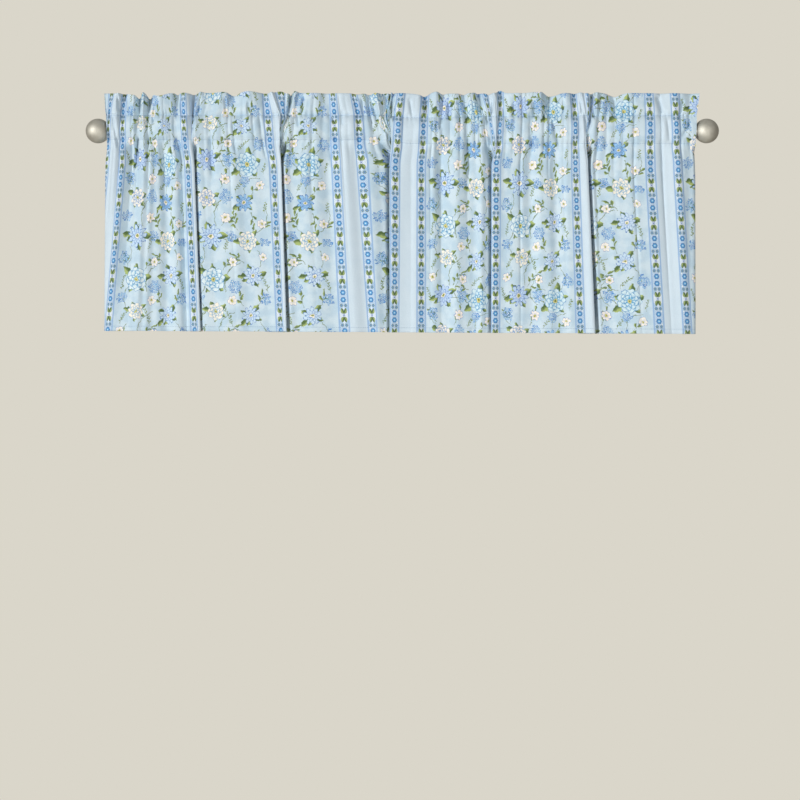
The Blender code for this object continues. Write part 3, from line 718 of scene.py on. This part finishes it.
def sewn_side(name, flat):
    """The stitches of a side hem, from the bottom edge up to where the gathers start below the pocket."""
    rows = [row for row, length in rows_of_cloth if 0 <= length <= rows_of_cloth[-1][1] - SIDE_HEM_STOPS]
    points = np.array([[np.interp(flat, flat_line, line) for line in row] for row in rows])
    steps = np.linalg.norm(np.diff(points, axis=0), axis=1)
    travelled = np.concatenate([[0.0], np.cumsum(steps)])
    return sewn_line(name, travelled, points.T, travelled[-1])


spun = Shades("sewing_thread_with_painted_shade")
ply = spun.noise(spun.node("ShaderNodeTexCoord").outputs["Object"], 2400.0, 1.0)
# The thread's dark blue is partly its own colour and partly painted shade, which makes the sewn lines read as
# dark lines.
tone = spun.mix(ply.outputs["Fac"], dye(84, 122, 158), dye(112, 148, 180))
thread = spun.surface(Base_Color=tone, Roughness=0.62, Sheen_Weight=0.3)

sewn_rows = {"header": header_row(0.0), "pocket": skirt_row(1.0), "hem": skirt_row(hem_share)}
ends_of = {"left": (0.0, SEAM), "right": (SEAM, FLAT_WIDTH)}
widths = {side_name: make_width(side_name, *ends) for side_name, ends in ends_of.items()}
for side_name, (start, end) in ends_of.items():
    sewn = [
        sewn_line(f"{line_name}_stitches_{side_name}", flat_line - start, row, end - start)
        for line_name, row in sewn_rows.items()
    ]
    edge = start + SIDE_HEM if side_name == "left" else end - SIDE_HEM
    sewn.append(sewn_side(f"side_hem_stitches_{side_name}", edge))

# The print: upright panels of flowers, each with a narrow border at both sides and a plain stripe to the
# next. The flowers come round again every 308 mm and the borders five times in that. Every place and size is
# in millimetres, with a motif's "across" from the panel's left side and its "up" from the bottom of the
# repeat.

FLOWER_REPEAT = 308.0
BORDER_REPEAT = FLOWER_REPEAT / 5
TURN = 2 * math.pi

GROUND = dye(190, 214, 229)
GROUND_WASH = dye(208, 226, 236)
CREAM = (251, 244, 231)

# Blossoms: place, how far turned (degrees), radius, number of petals, colour at the tips and in the hollows.
Blossom = namedtuple("Blossom", "across up turn size petals tip hollow")
ROUND_BLOSSOMS = [Blossom(*row) for row in (
    (38, 26, 10, 20, 8, (226, 240, 243), (66, 160, 204)), (98, 88, 50, 16, 9, (250, 243, 226), (112, 178, 216)),
    (32, 158, 20, 15, 8, (248, 241, 226), (84, 152, 212)),
    (102, 212, 80, 20, 9, (216, 236, 242), (60, 158, 206)),
    (40, 282, 35, 14, 8, (250, 243, 226), (120, 180, 216)),
)]
POINTED_BLOSSOMS = [Blossom(*row) for row in (
    (104, 32, 15, 16, 10, (206, 226, 243), (48, 122, 200)),
    (36, 96, 5, 20, 11, (198, 222, 243), (42, 112, 196)), (94, 150, 40, 14, 9, (150, 194, 232), (24, 88, 176)),
    (34, 220, 25, 18, 11, (190, 214, 240), (52, 104, 196)),
    (98, 276, 55, 15, 10, (204, 226, 243), (40, 116, 198)),
)]
DAISIES = [Blossom(*row) for row in (
    (72, 54, 0, 8, 6, CREAM, (130, 170, 222)), (122, 116, 20, 8, 6, CREAM, (90, 148, 220)),
    (62, 126, 40, 9, 6, (251, 242, 228), (150, 176, 218)),
    (122, 178, 10, 8, 6, CREAM, (130, 170, 222)),
    (64, 188, 30, 9, 7, (251, 242, 228), (72, 128, 216)), (12, 250, 15, 8, 6, CREAM, (130, 170, 222)),
    (72, 246, 35, 8, 6, (251, 242, 228), (90, 148, 220)), (68, 300, 5, 8, 6, CREAM, (150, 176, 218)),
    (122, 62, 40, 7, 6, CREAM, (110, 160, 222)),
)]
# Round heads of small florets.
Cluster = namedtuple("Cluster", "across up turn size")
CLUSTERS = [Cluster(*row) for row in (
    (74, 14, 0, 12), (12, 60, 0, 12), (126, 86, 0, 9), (12, 128, 0, 12), (64, 160, 0, 12), (12, 190, 0, 12),
    (70, 220, 0, 12), (126, 244, 0, 12), (12, 304, 0, 11), (96, 184, 0, 9), (70, 96, 0, 10), (124, 302, 0, 10),
)]
# Sprays of leaves on a stem: the foot's place, its direction, the length of one leaf's step, the steps, and
# the bend.
Spray = namedtuple("Spray", "across up turn size steps bend")
SPRAYS = [Spray(*row) for row in (
    (54, 40, 62, 8, 3, 0.10), (90, 52, 128, 8, 2, -0.10), (20, 46, 100, 8, 2, -0.08),
    (82, 104, 118, 8, 3, 0.08), (54, 112, 52, 8, 2, 0.10), (54, 172, 48, 8, 3, -0.10),
    (20, 176, 110, 8, 2, -0.10), (106, 162, 62, 8, 2, 0.10), (104, 134, -60, 8, 2, 0.12),
    (84, 228, 150, 8, 2, -0.10), (52, 236, 66, 8, 3, 0.10), (24, 262, -124, 7, 2, 0.10),
    (86, 290, 118, 8, 2, 0.10), (112, 292, 62, 8, 2, -0.08), (118, 102, 60, 8, 2, 0.10),
)]
SPRIGS = [Spray(*row) for row in (
    (60, 70, 88, 4.2, 6, 0.05), (128, 6, 95, 4.2, 7, -0.04), (12, 8, 100, 4.0, 6, 0.05),
    (128, 132, 92, 4.4, 6, 0.04), (50, 138, 100, 4.0, 5, -0.05), (80, 166, 70, 4.2, 5, 0.05),
    (10, 208, 95, 4.2, 7, -0.04), (128, 196, 88, 4.0, 7, 0.05), (66, 258, 92, 4.2, 7, -0.05),
    (12, 262, 80, 4.2, 5, 0.05), (88, 232, 60, 4.2, 6, 0.05),
)]
# Thin stems: the foot's place, the direction to the end, the length and the bow.
Stem = namedtuple("Stem", "across up turn size bow")
STEMS = [Stem(*row) for row in (
    (58, 6, 60, 54, 0.22), (20, 50, 104, 40, -0.25), (76, 94, 150, 44, 0.30), (108, 100, 62, 46, -0.25),
    (46, 112, 70, 50, 0.20), (20, 172, 96, 40, 0.30), (96, 160, 48, 40, 0.30), (90, 192, 150, 48, -0.22),
    (112, 228, 96, 40, -0.3), (46, 236, 60, 52, 0.24), (24, 284, 80, 46, 0.25), (116, 46, 120, 44, -0.26),
    (70, 204, 100, 40, 0.26),
)]


# A ramp's colours only hold values from 0 to 1, so the cosine and sine of a motif's turn, as shares of its
# size, are scaled by this. It suits motifs of at least twice this size.
TURN_SCALE = 1.6


def apart(motif, other):
    half = FLOWER_REPEAT / 2
    return abs((motif.up - other.up + half) % FLOWER_REPEAT - half)


def ladders(motifs, reach):
    """Deals motifs into ladders, in which no two stand so close, up or down, that they could touch."""
    dealt = []
    for motif in sorted(motifs, key=lambda one: one.up):
        for ladder in dealt:
            if all(apart(motif, other) > reach * (motif.size + other.size) for other in ladder):
                ladder.append(motif)
                break
        else:
            dealt.append([motif])
    return dealt


def rung_colour(ink, height, ladder, values):
    """For a height in the repeat, from 0 to 1, the colour and last value of the ladder's nearest motif."""
    made = ink.node("ShaderNodeValToRGB", Fac=height)
    ramp = made.color_ramp
    ramp.interpolation = "CONSTANT"
    ramp.elements.remove(ramp.elements[1])
    ramp.elements[0].position = 0.0
    ramp.elements[0].color = values(ladder[-1])
    below_up, below_size = ladder[-1].up - FLOWER_REPEAT, ladder[-1].size
    for motif in (*ladder, ladder[0]._replace(up=ladder[0].up + FLOWER_REPEAT)):
        share = below_size / (below_size + motif.size)
        start = (below_up + (motif.up - below_up) * share) / FLOWER_REPEAT
        if start <= 0:
            ramp.elements[0].color = values(motif)
        elif start < 1:
            ramp.elements.new(start).color = values(motif)
        below_up, below_size = motif.up, motif.size
    return made.outputs[0], made.outputs[1]


def rungs(ink, height, ladder, values):
    """The same as four plain values."""
    colour, last = rung_colour(ink, height, ladder, values)
    return *ink.split(colour), last


def motif_place(ink, across, up, ladder):
    """Where a point is along and beside the ladder's nearest motif, as shares of the motif's size."""

    def drawn(motif):
        turn, shrink = math.radians(motif.turn), TURN_SCALE / motif.size
        place = (motif.across / FLOWER_REPEAT, motif.up % FLOWER_REPEAT / FLOWER_REPEAT)
        return (*place, 0.5 + shrink * math.cos(turn), 0.5 + shrink * math.sin(turn))

    left, foot, cosine, sine = rungs(ink, ink.maths("DIVIDE", up, FLOWER_REPEAT), ladder, drawn)
    right = ink.times_plus(left, -FLOWER_REPEAT, across)
    above = ink.times_plus(foot, -FLOWER_REPEAT, up)
    above = ink.maths("WRAP", above, FLOWER_REPEAT / 2, -FLOWER_REPEAT / 2)
    cosine = ink.times_plus(cosine, 1 / TURN_SCALE, -0.5 / TURN_SCALE)
    sine = ink.times_plus(sine, 1 / TURN_SCALE, -0.5 / TURN_SCALE)
    along = ink.times_plus(above, sine, ink.times(right, cosine))
    beside = ink.times(above, cosine)
    return along, ink.minus(beside, ink.times(right, sine))


def round_and_out(ink, along, beside):
    """A place as its angle, in whole turns, and its distance from the middle."""
    angle = ink.times(ink.maths("ARCTAN2", beside, along), 1 / TURN)
    squares = ink.times_plus(beside, beside, ink.times(along, along))
    return angle, ink.maths("SQRT", squares)


# One ring of petals: its radius, how deep the gaps are, how far it is turned (in petals), how thick the drawn
# line is, and how strongly the hollows of the petals are coloured.
Ring = namedtuple("Ring", "radius gap turn line hollow")
# The middle of a flower: its radius, the width of its rim, the radius of the dot, and their colours.
Eye = namedtuple("Eye", "radius rim dot rim_colour core_colour dot_colour")

ROUND_RINGS = (
    Ring(1.0, 0.16, 0.0, 0.05, 0.75),
    Ring(0.76, 0.2, 0.45, 0.05, 0.9),
    Ring(0.5, 0.24, 0.15, 0.06, 1.1),
)
ROUND_EYE = Eye(0.17, 0.05, 0.08, (196, 190, 120), (232, 222, 150), (120, 130, 60))
POINTED_RINGS = (
    Ring(1.0, 0.5, 0.0, 0.08, 0.4),
    Ring(0.66, 0.4, 0.5, 0.07, 0.6),
)
POINTED_EYE = Eye(0.26, 0.06, 0.12, (120, 160, 214), (246, 240, 222), (150, 158, 84))
DAISY_RINGS = (Ring(1.0, 0.3, 0.0, 0.10, 0.4),)
DAISY_EYE = Eye(0.26, 0.08, 0.12, (190, 186, 110), (222, 214, 130), (110, 116, 56))
OLIVE_DARK = dye(82, 108, 54)
OLIVE_LIGHT = dye(170, 188, 112)
STEM_GREEN = dye(112, 130, 84)
LINE_BLUE = dye(26, 94, 170)
SPRAY_LEAN = 0.75
BORDER_LEAF_LEAN = math.radians(-54)


def petals(ink, below, angle, out, count, rings, tip, hollow):
    """Rings of petals, laid one on the other from the outside in."""
    line = ink.mix(0.45, hollow, LINE_BLUE)
    turns = ink.times(angle, count)
    for ring in rings:
        gap = ink.maths("PINGPONG", ink.maths("ADD", turns, ring.turn), 0.5)
        gap = ink.times(gap, gap)
        edge = ink.times_plus(gap, -4 * ring.gap * ring.radius, ring.radius)
        inside = ink.minus(edge, out)
        depth = ink.times(inside, 1.6 * ring.hollow)
        depth = ink.times_plus(gap, 3.2 * ring.hollow, depth)
        colour = ink.mix(ink.between(depth, 0.15, 1.0), tip, hollow)
        colour = ink.mix(ink.between(inside, ring.line * 0.6, ring.line * 1.1, 0.9, 0.0), colour, line)
        below = ink.mix(ink.between(inside, -0.015, 0.015), below, colour)
    return below


def leaf(ink, below, inside, off, width):
    """A leaf, dark on one side of its rib and light on the other."""
    colour = ink.mix(ink.between(off, -0.4 * width, 0.4 * width), OLIVE_DARK, OLIVE_LIGHT)
    rib = ink.between(ink.size(off), 0.1 * width, 0.24 * width, 0.75, 0.0)
    return ink.mix(inside, below, ink.mix(rib, colour, STEM_GREEN))


def lens(ink, along, away, length, width):
    """How far inside a leaf's outline a point is."""
    share = ink.times(along, 1 / length)
    full = ink.times(share, ink.minus(1.0, share))
    return ink.times_plus(full, 4 * width, ink.times(away, -1.0))


def leaf_fan(ink, below, angle, out, count):
    """Leaves that stand out all round from under a blossom, each of its own length."""
    turns = ink.times(angle, count)
    number = ink.maths("ROUND", turns)
    chance = ink.node("ShaderNodeTexWhiteNoise", {"noise_dimensions": "1D"}, W=number).outputs[0]
    apart = ink.times(ink.minus(turns, number), TURN / count)
    apart = ink.maths("ADD", apart, ink.times_plus(chance, 0.5, -0.25))
    along = ink.times(out, ink.maths("COSINE", apart))
    off = ink.times(out, ink.maths("SINE", apart))
    along = ink.minus(along, ink.times_plus(chance, 0.5, 0.1))
    inside = lens(ink, along, ink.size(off), 1.1, 0.28)
    return leaf(ink, below, ink.between(inside, -0.02, 0.03), off, 0.28)


def turned(ink, ahead, aside, lean):
    """A place measured along and beside a line that leans by an angle."""
    along = ink.times_plus(aside, math.sin(lean), ink.times(ahead, math.cos(lean)))
    return along, ink.times_plus(aside, math.cos(lean), ink.times(ahead, -math.sin(lean)))


def spray(ink, below, along, off, ladder, height, leaf_length, leaf_width):
    """A bent stem with leaves by turns on its left and right, and one at its end."""
    numbers = rungs(ink, height, ladder, lambda one: (one.steps / 8, one.bend + 0.5, 0, 1))
    steps = ink.maths("ROUND", ink.times(numbers[0], 8))
    bend = ink.minus(numbers[1], 0.5)
    off = ink.times_plus(ink.times(along, along), bend, off)
    away = ink.size(off)
    stem = ink.between(away, 0.03, 0.07, 0.85, 0.0)
    stem = ink.times(stem, ink.maths("LESS_THAN", along, steps))
    stem = ink.times(stem, ink.maths("GREATER_THAN", along, 0.0))
    below = ink.mix(stem, below, STEM_GREEN)
    past = ink.minus(along, steps)
    inside = lens(ink, past, away, leaf_length, leaf_width)
    below = leaf(ink, below, ink.between(inside, -0.02, 0.04), off, 2 * leaf_width)
    stepped = ink.times_plus(ink.maths("SIGN", off), 0.25, along)
    step = ink.maths("FLOOR", stepped)
    here = ink.times(ink.maths("LESS_THAN", step, steps), ink.maths("GREATER_THAN", step, 0.5))
    forward = ink.minus(ink.minus(stepped, step), 0.12)
    tip, side = turned(ink, forward, away, SPRAY_LEAN)
    inside = lens(ink, tip, ink.size(side), leaf_length, leaf_width)
    here = ink.times(ink.between(inside, -0.02, 0.04), here)
    return leaf(ink, below, here, side, 2 * leaf_width)


def thin_stem(ink, below, along, off, bow):
    """A thin bowed line from the foot at 0 to the end at 1."""
    rest = ink.times(along, ink.minus(1.0, along))
    off = ink.times_plus(rest, ink.times(bow, -4.0), off)
    line = ink.between(ink.size(off), 0.007, 0.02, 0.85, 0.0)
    line = ink.times(line, ink.maths("GREATER_THAN", rest, 0.0))
    return ink.mix(line, below, STEM_GREEN)


FLORET = 4.6


def florets(ink, across, up):
    """Small five-petalled florets in rows: the nearest one's middle, a point's depth in it, its colour."""
    row = ink.maths("FLOOR", ink.maths("DIVIDE", up, FLORET * 0.87))
    shift = ink.times(ink.maths("FLOORED_MODULO", row, 2.0), 0.5)
    place = ink.maths("ADD", ink.maths("DIVIDE", across, FLORET), shift)
    column = ink.maths("FLOOR", place)
    seed = ink.times_plus(row, 37.0, column)
    chance = ink.node("ShaderNodeTexWhiteNoise", {"noise_dimensions": "1D"}, W=seed).outputs[0]
    jitter = ink.times_plus(chance, 0.24, 0.38)
    middle = ink.times(ink.maths("ADD", ink.minus(column, shift), jitter), FLORET)
    level = ink.times(ink.maths("ADD", row, jitter), FLORET * 0.87)
    right = ink.minus(across, middle)
    above = ink.minus(up, level)
    angle, out = round_and_out(ink, right, above)
    lobes = ink.maths("COSINE", ink.times(ink.maths("ADD", angle, chance), 5 * TURN))
    inside = ink.minus(ink.times_plus(lobes, 0.3, 0.42 * FLORET), out)
    colour = ink.mix(chance, dye(56, 132, 204), dye(150, 200, 232))
    colour = ink.mix(ink.between(inside, 0.15, 0.5, 0.7, 0.0), colour, dye(40, 92, 180))
    colour = ink.mix(ink.between(out, 0.45, 0.75, 1.0, 0.0), colour, dye(244, 240, 220))
    return middle, level, ink.between(inside, -0.1, 0.1), colour


def flower_panel(ink, across, up, ground):
    """The flowers of one panel, from the ground up: stems, sprigs, sprays, clusters, daisies, blossoms."""
    height = ink.maths("DIVIDE", up, FLOWER_REPEAT)
    below = ground
    for ladder in ladders(STEMS, 0.55):
        along, beside = motif_place(ink, across, up, ladder)
        bow = rungs(ink, height, ladder, lambda one: (one.bow + 0.5, 0, 0, 1))[0]
        bow = ink.minus(bow, 0.5)
        below = thin_stem(ink, below, along, beside, bow)
    for ladder in ladders(SPRIGS, 3.6):
        along, beside = motif_place(ink, across, up, ladder)
        below = spray(ink, below, along, beside, ladder, height, 1.0, 0.2)
    for ladder in ladders(SPRAYS, 2.2):
        along, beside = motif_place(ink, across, up, ladder)
        below = spray(ink, below, along, beside, ladder, height, 1.45, 0.26)
    middle, level, inside, colour = florets(ink, across, up)
    for ladder in ladders(CLUSTERS, 1.05):
        along, beside = motif_place(ink, middle, level, ladder)
        far = ink.times_plus(beside, beside, ink.times(along, along))
        here = ink.times(inside, ink.maths("LESS_THAN", far, 0.74))
        below = ink.mix(here, below, colour)
    for flowers, *drawing in (
        (DAISIES, DAISY_RINGS, 0, DAISY_EYE),
        (ROUND_BLOSSOMS, ROUND_RINGS, 5, ROUND_EYE),
        (POINTED_BLOSSOMS, POINTED_RINGS, 4, POINTED_EYE),
    ):
        for ladder in ladders(flowers, 1.05):
            below = blossom(ink, below, across, up, height, ladder, *drawing)
    return below


def blossom(ink, below, across, up, height, ladder, rings, leaves, eye):
    """The flowers of one ladder, with the leaves under them."""
    angle, out = round_and_out(ink, *motif_place(ink, across, up, ladder))
    if leaves:
        below = leaf_fan(ink, below, angle, out, leaves)
    tip, number = rung_colour(ink, height, ladder, lambda one: (*dye(*one.tip)[:3], one.petals / 32))
    hollow = rung_colour(ink, height, ladder, lambda one: dye(*one.hollow))[0]
    count = ink.maths("ROUND", ink.times(number, 32.0))
    below = petals(ink, below, angle, out, count, rings, tip, hollow)
    for radius, colour in (
        (eye.radius, eye.rim_colour),
        (eye.radius - eye.rim, eye.core_colour),
        (eye.dot * 0.85, eye.dot_colour),
    ):
        below = ink.mix(ink.between(out, radius, radius + 0.03, 1.0, 0.0), below, dye(*colour))
    return below


def border(ink, beside, up):
    """The border: rosettes, ring flowers and leaf pairs on pale blue, mirrored up and down at a rosette."""
    level = ink.maths("PINGPONG", up, BORDER_REPEAT / 2)
    away = ink.size(beside)
    pale = ink.between(ink.times_plus(away, -1.1, level), 15.0, 18.5)
    below = ink.mix(pale, dye(178, 206, 230), dye(226, 237, 243))
    dots = ink.maths("COSINE", ink.times(away, TURN / 2.4))
    dots = ink.times(dots, ink.maths("COSINE", ink.times(level, TURN / 2.9)))
    light = ink.between(dots, 0.3, 0.6, 0.0, 0.8)
    light = ink.times(light, ink.between(level, 16.0, 18.0, 1.0, 0.0))
    below = ink.mix(light, below, dye(236, 242, 245))
    below = ink.mix(ink.between(dots, -0.75, -0.4, 0.75, 0.0), below, dye(92, 134, 192))
    for height, middle, radius, outer, inner, core in (
        (5.8, 0.0, 4.5, (28, 96, 164), (96, 166, 216), (214, 232, 242)),
        (14.8, 3.4, 2.8, (96, 120, 118), (160, 200, 226), (84, 128, 190)),
    ):
        right = ink.minus(away, middle)
        angle, out = round_and_out(ink, right, ink.minus(level, height))
        lobes = ink.maths("COSINE", ink.times(angle, 6 * TURN))
        inside = ink.minus(ink.times_plus(lobes, 0.35, radius - 0.3), out)
        colour = ink.mix(ink.between(inside, 0.6, 1.7), dye(*outer), dye(*inner))
        colour = ink.mix(ink.between(out, 0.7, 1.3, 1.0, 0.0), colour, dye(*core))
        below = ink.mix(ink.between(inside, -0.15, 0.2), below, colour)
    # A pair of leaves, which spread up and out from the small cross.
    right = ink.minus(away, 0.3)
    above = ink.minus(level, 28.4)
    along, off = turned(ink, right, above, BORDER_LEAF_LEAN)
    off = ink.times_plus(ink.times(along, along), 0.03, off)
    inside = lens(ink, along, ink.size(off), 9.6, 2.7)
    below = ink.mix(ink.between(inside, -0.2, 0.2), below, dye(76, 102, 56))
    below = leaf(ink, below, ink.between(inside, 0.5, 1.0), off, 2.8)
    arm = ink.minus(BORDER_REPEAT / 2, level)
    long = ink.maths("LESS_THAN", ink.maths("MAXIMUM", away, arm), 1.9)
    thin = ink.between(ink.size(ink.minus(away, arm)), 0.45, 0.8, 0.95, 0.0)
    below = ink.mix(ink.times(thin, long), below, dye(56, 96, 180))
    # Small cream buds, only on the stripe's side.
    _, out = round_and_out(ink, ink.maths("ADD", beside, 5.2), ink.minus(level, 10.4))
    below = ink.mix(ink.between(out, 0.7, 1.2, 0.9, 0.0), below, dye(240, 238, 226))
    below = ink.mix(ink.between(away, 6.8, 7.4), below, dye(160, 190, 224))
    rail = ink.size(ink.minus(away, 7.3))
    return ink.mix(ink.between(rail, 0.2, 0.6, 0.45, 0.0), below, dye(96, 140, 196))


def printed_cloth(ink):
    """The whole print, from the cloth's own coordinates."""
    place = ink.node("ShaderNodeUVMap", {"uv_map": "print"}).outputs[0]
    wobble = ink.noise(place, 160.0, 2.0, "2D")
    wash = ink.noise(place, 45.0, 3.0, "2D")
    wash = wash.outputs["Fac"]
    sideways, upward, _ = ink.split(wobble.outputs["Color"])
    parts = ink.node("ShaderNodeSeparateXYZ", Vector=place)
    up = ink.times(parts.outputs[1], 1000.0)
    across = ink.maths("FLOORED_MODULO", ink.times(parts.outputs[0], 1000.0), REPEAT)
    moved_across = ink.times_plus(sideways, 6.0, ink.minus(across, 3.0))
    moved_up = ink.times_plus(upward, 6.0, ink.minus(up, 3.0))
    moved_up = ink.maths("FLOORED_MODULO", moved_up, FLOWER_REPEAT)
    ground = ink.mix(ink.between(wash, 0.35, 0.65), GROUND, GROUND_WASH)
    flowers = flower_panel(ink, moved_across, moved_up, ground)
    centre = ink.minus(across, PANEL + BORDER + STRIPE / 2)
    from_stripe = ink.minus(ink.size(centre), STRIPE / 2)
    edging = border(ink, ink.minus(from_stripe, BORDER / 2), up)
    colour = ink.mix(ink.between(from_stripe, BORDER - 0.2, BORDER + 0.2), edging, flowers)
    stripe = ink.mix(wash, dye(202, 220, 232), dye(213, 228, 238))
    return ink.mix(ink.between(from_stripe, -0.3, 0.3), stripe, colour)


THREAD = 0.0009


def cotton_finish():
    """Printed plain-weave cotton: crisp on the right side, pale on the wrong one, its threads in relief."""
    ink = Shades("printed_cotton")
    colour = printed_cloth(ink)
    wrong_side = ink.node("ShaderNodeNewGeometry").outputs["Backfacing"]
    colour = ink.mix(ink.times(wrong_side, 0.72), colour, dye(212, 222, 230))
    place = ink.node("ShaderNodeUVMap", {"uv_map": "print"}).outputs[0]
    slub = ink.noise(place, 700.0, 3.0, "2D")
    colour = ink.mix(ink.between(slub.outputs["Fac"], 0.3, 0.75, 0.0, 0.10), colour, dye(120, 138, 156))
    parts = ink.node("ShaderNodeSeparateXYZ", Vector=place)
    warp = ink.maths("SINE", ink.times(parts.outputs[0], TURN / THREAD))
    weft = ink.maths("SINE", ink.times(parts.outputs[1], TURN / THREAD))
    relief = ink.times_plus(warp, weft, slub.outputs["Fac"])
    bump = ink.node("ShaderNodeBump", Strength=0.35, Distance=0.00012, Height=relief)
    rough = ink.between(slub.outputs["Fac"], 0.3, 0.7, 0.74, 0.88)
    return ink.surface(
        Base_Color=colour,
        Roughness=rough,
        Specular_IOR_Level=0.3,
        Sheen_Weight=0.22,
        Sheen_Roughness=0.45,
        Normal=bump.outputs["Normal"],
    )


cotton = cotton_finish()
for cloth in widths.values():
    cloth.data.materials.append(cotton)

# ------------------------------------------------------------------------------
# The studio: a pale floor below the hanging valance, a pale wall colour all round, soft light from the front.

WALL = dye(218, 214, 202)
FLOOR_HEIGHT = -1.78

bm = bmesh.new()
bmesh.ops.create_grid(bm, x_segments=1, y_segments=1, size=1.6)
for vert in bm.verts:
    vert.co.z = FLOOR_HEIGHT
floor_mesh = bpy.data.meshes.new("studio_floor")
bm.to_mesh(floor_mesh)
bm.free()
floor_mesh.materials.append(Shades("floor_paint").surface(Base_Color=dye(238, 235, 227), Roughness=0.8))
put("studio_floor", floor_mesh)

room = Shades("studio", "worlds")
direction = room.node("ShaderNodeTexCoord").outputs["Generated"]
slope = room.node("ShaderNodeSeparateXYZ", Vector=direction)
shade = room.node("ShaderNodeValToRGB", Fac=slope.outputs["Z"])
shade.color_ramp.elements[0].color = dye(168, 160, 148)
shade.color_ramp.elements[1].color = dye(232, 232, 230)
shade.color_ramp.elements.new(0.5).color = dye(206, 205, 200)
around = room.node("ShaderNodeBackground", Strength=0.46, Color=shade.outputs[0]).outputs[0]
behind_it = room.node("ShaderNodeBackground", Color=WALL).outputs[0]
seen = room.node("ShaderNodeLightPath").outputs["Is Camera Ray"]
either = room.node("ShaderNodeMixShader", _0=seen, _1=around, _2=behind_it)
bpy.context.scene.world = room.finish(either, "World")
bpy.context.scene.view_settings.view_transform = "Standard"

Lamp = namedtuple("Lamp", "name place aim width height watts")
LAMPS = (
    Lamp("soft_key", (-8.0, -7.6, 0.3), (0.1, 0.0, -0.15), 2.0, 3.6, 850.0),
    Lamp("front_fill", (1.9, -3.9, 0.2), (0.2, 0.0, -0.2), 2.4, 1.6, 28.0),
    Lamp("low_fill", (0.3, -2.2, -1.3), (0.1, 0.0, -0.3), 1.4, 0.6, 13.0),
)
for lamp in LAMPS:
    data = bpy.data.lights.new(lamp.name, "AREA")
    data.shape = "RECTANGLE"
    data.size, data.size_y, data.energy = lamp.width, lamp.height, lamp.watts
    light = put(lamp.name, data)
    light.location = lamp.place
    light.rotation_euler = (Vector(lamp.aim) - Vector(lamp.place)).to_track_quat("-Z", "Y").to_euler()

# The camera stands level, square to the wall, with the valance in the upper part of the picture.
PICTURE_WIDTH = 1.3016
CAMERA_DISTANCE = 4.0
SENSOR = 36.0
camera_data = bpy.data.cameras.new("camera")
camera_data.sensor_width = SENSOR
camera_data.lens = SENSOR * CAMERA_DISTANCE / PICTURE_WIDTH
camera = put("camera", camera_data)
camera.location = (-0.0037, -CAMERA_DISTANCE, -0.4377)
camera.rotation_euler = (math.radians(90), 0, 0)
bpy.context.scene.camera = camera
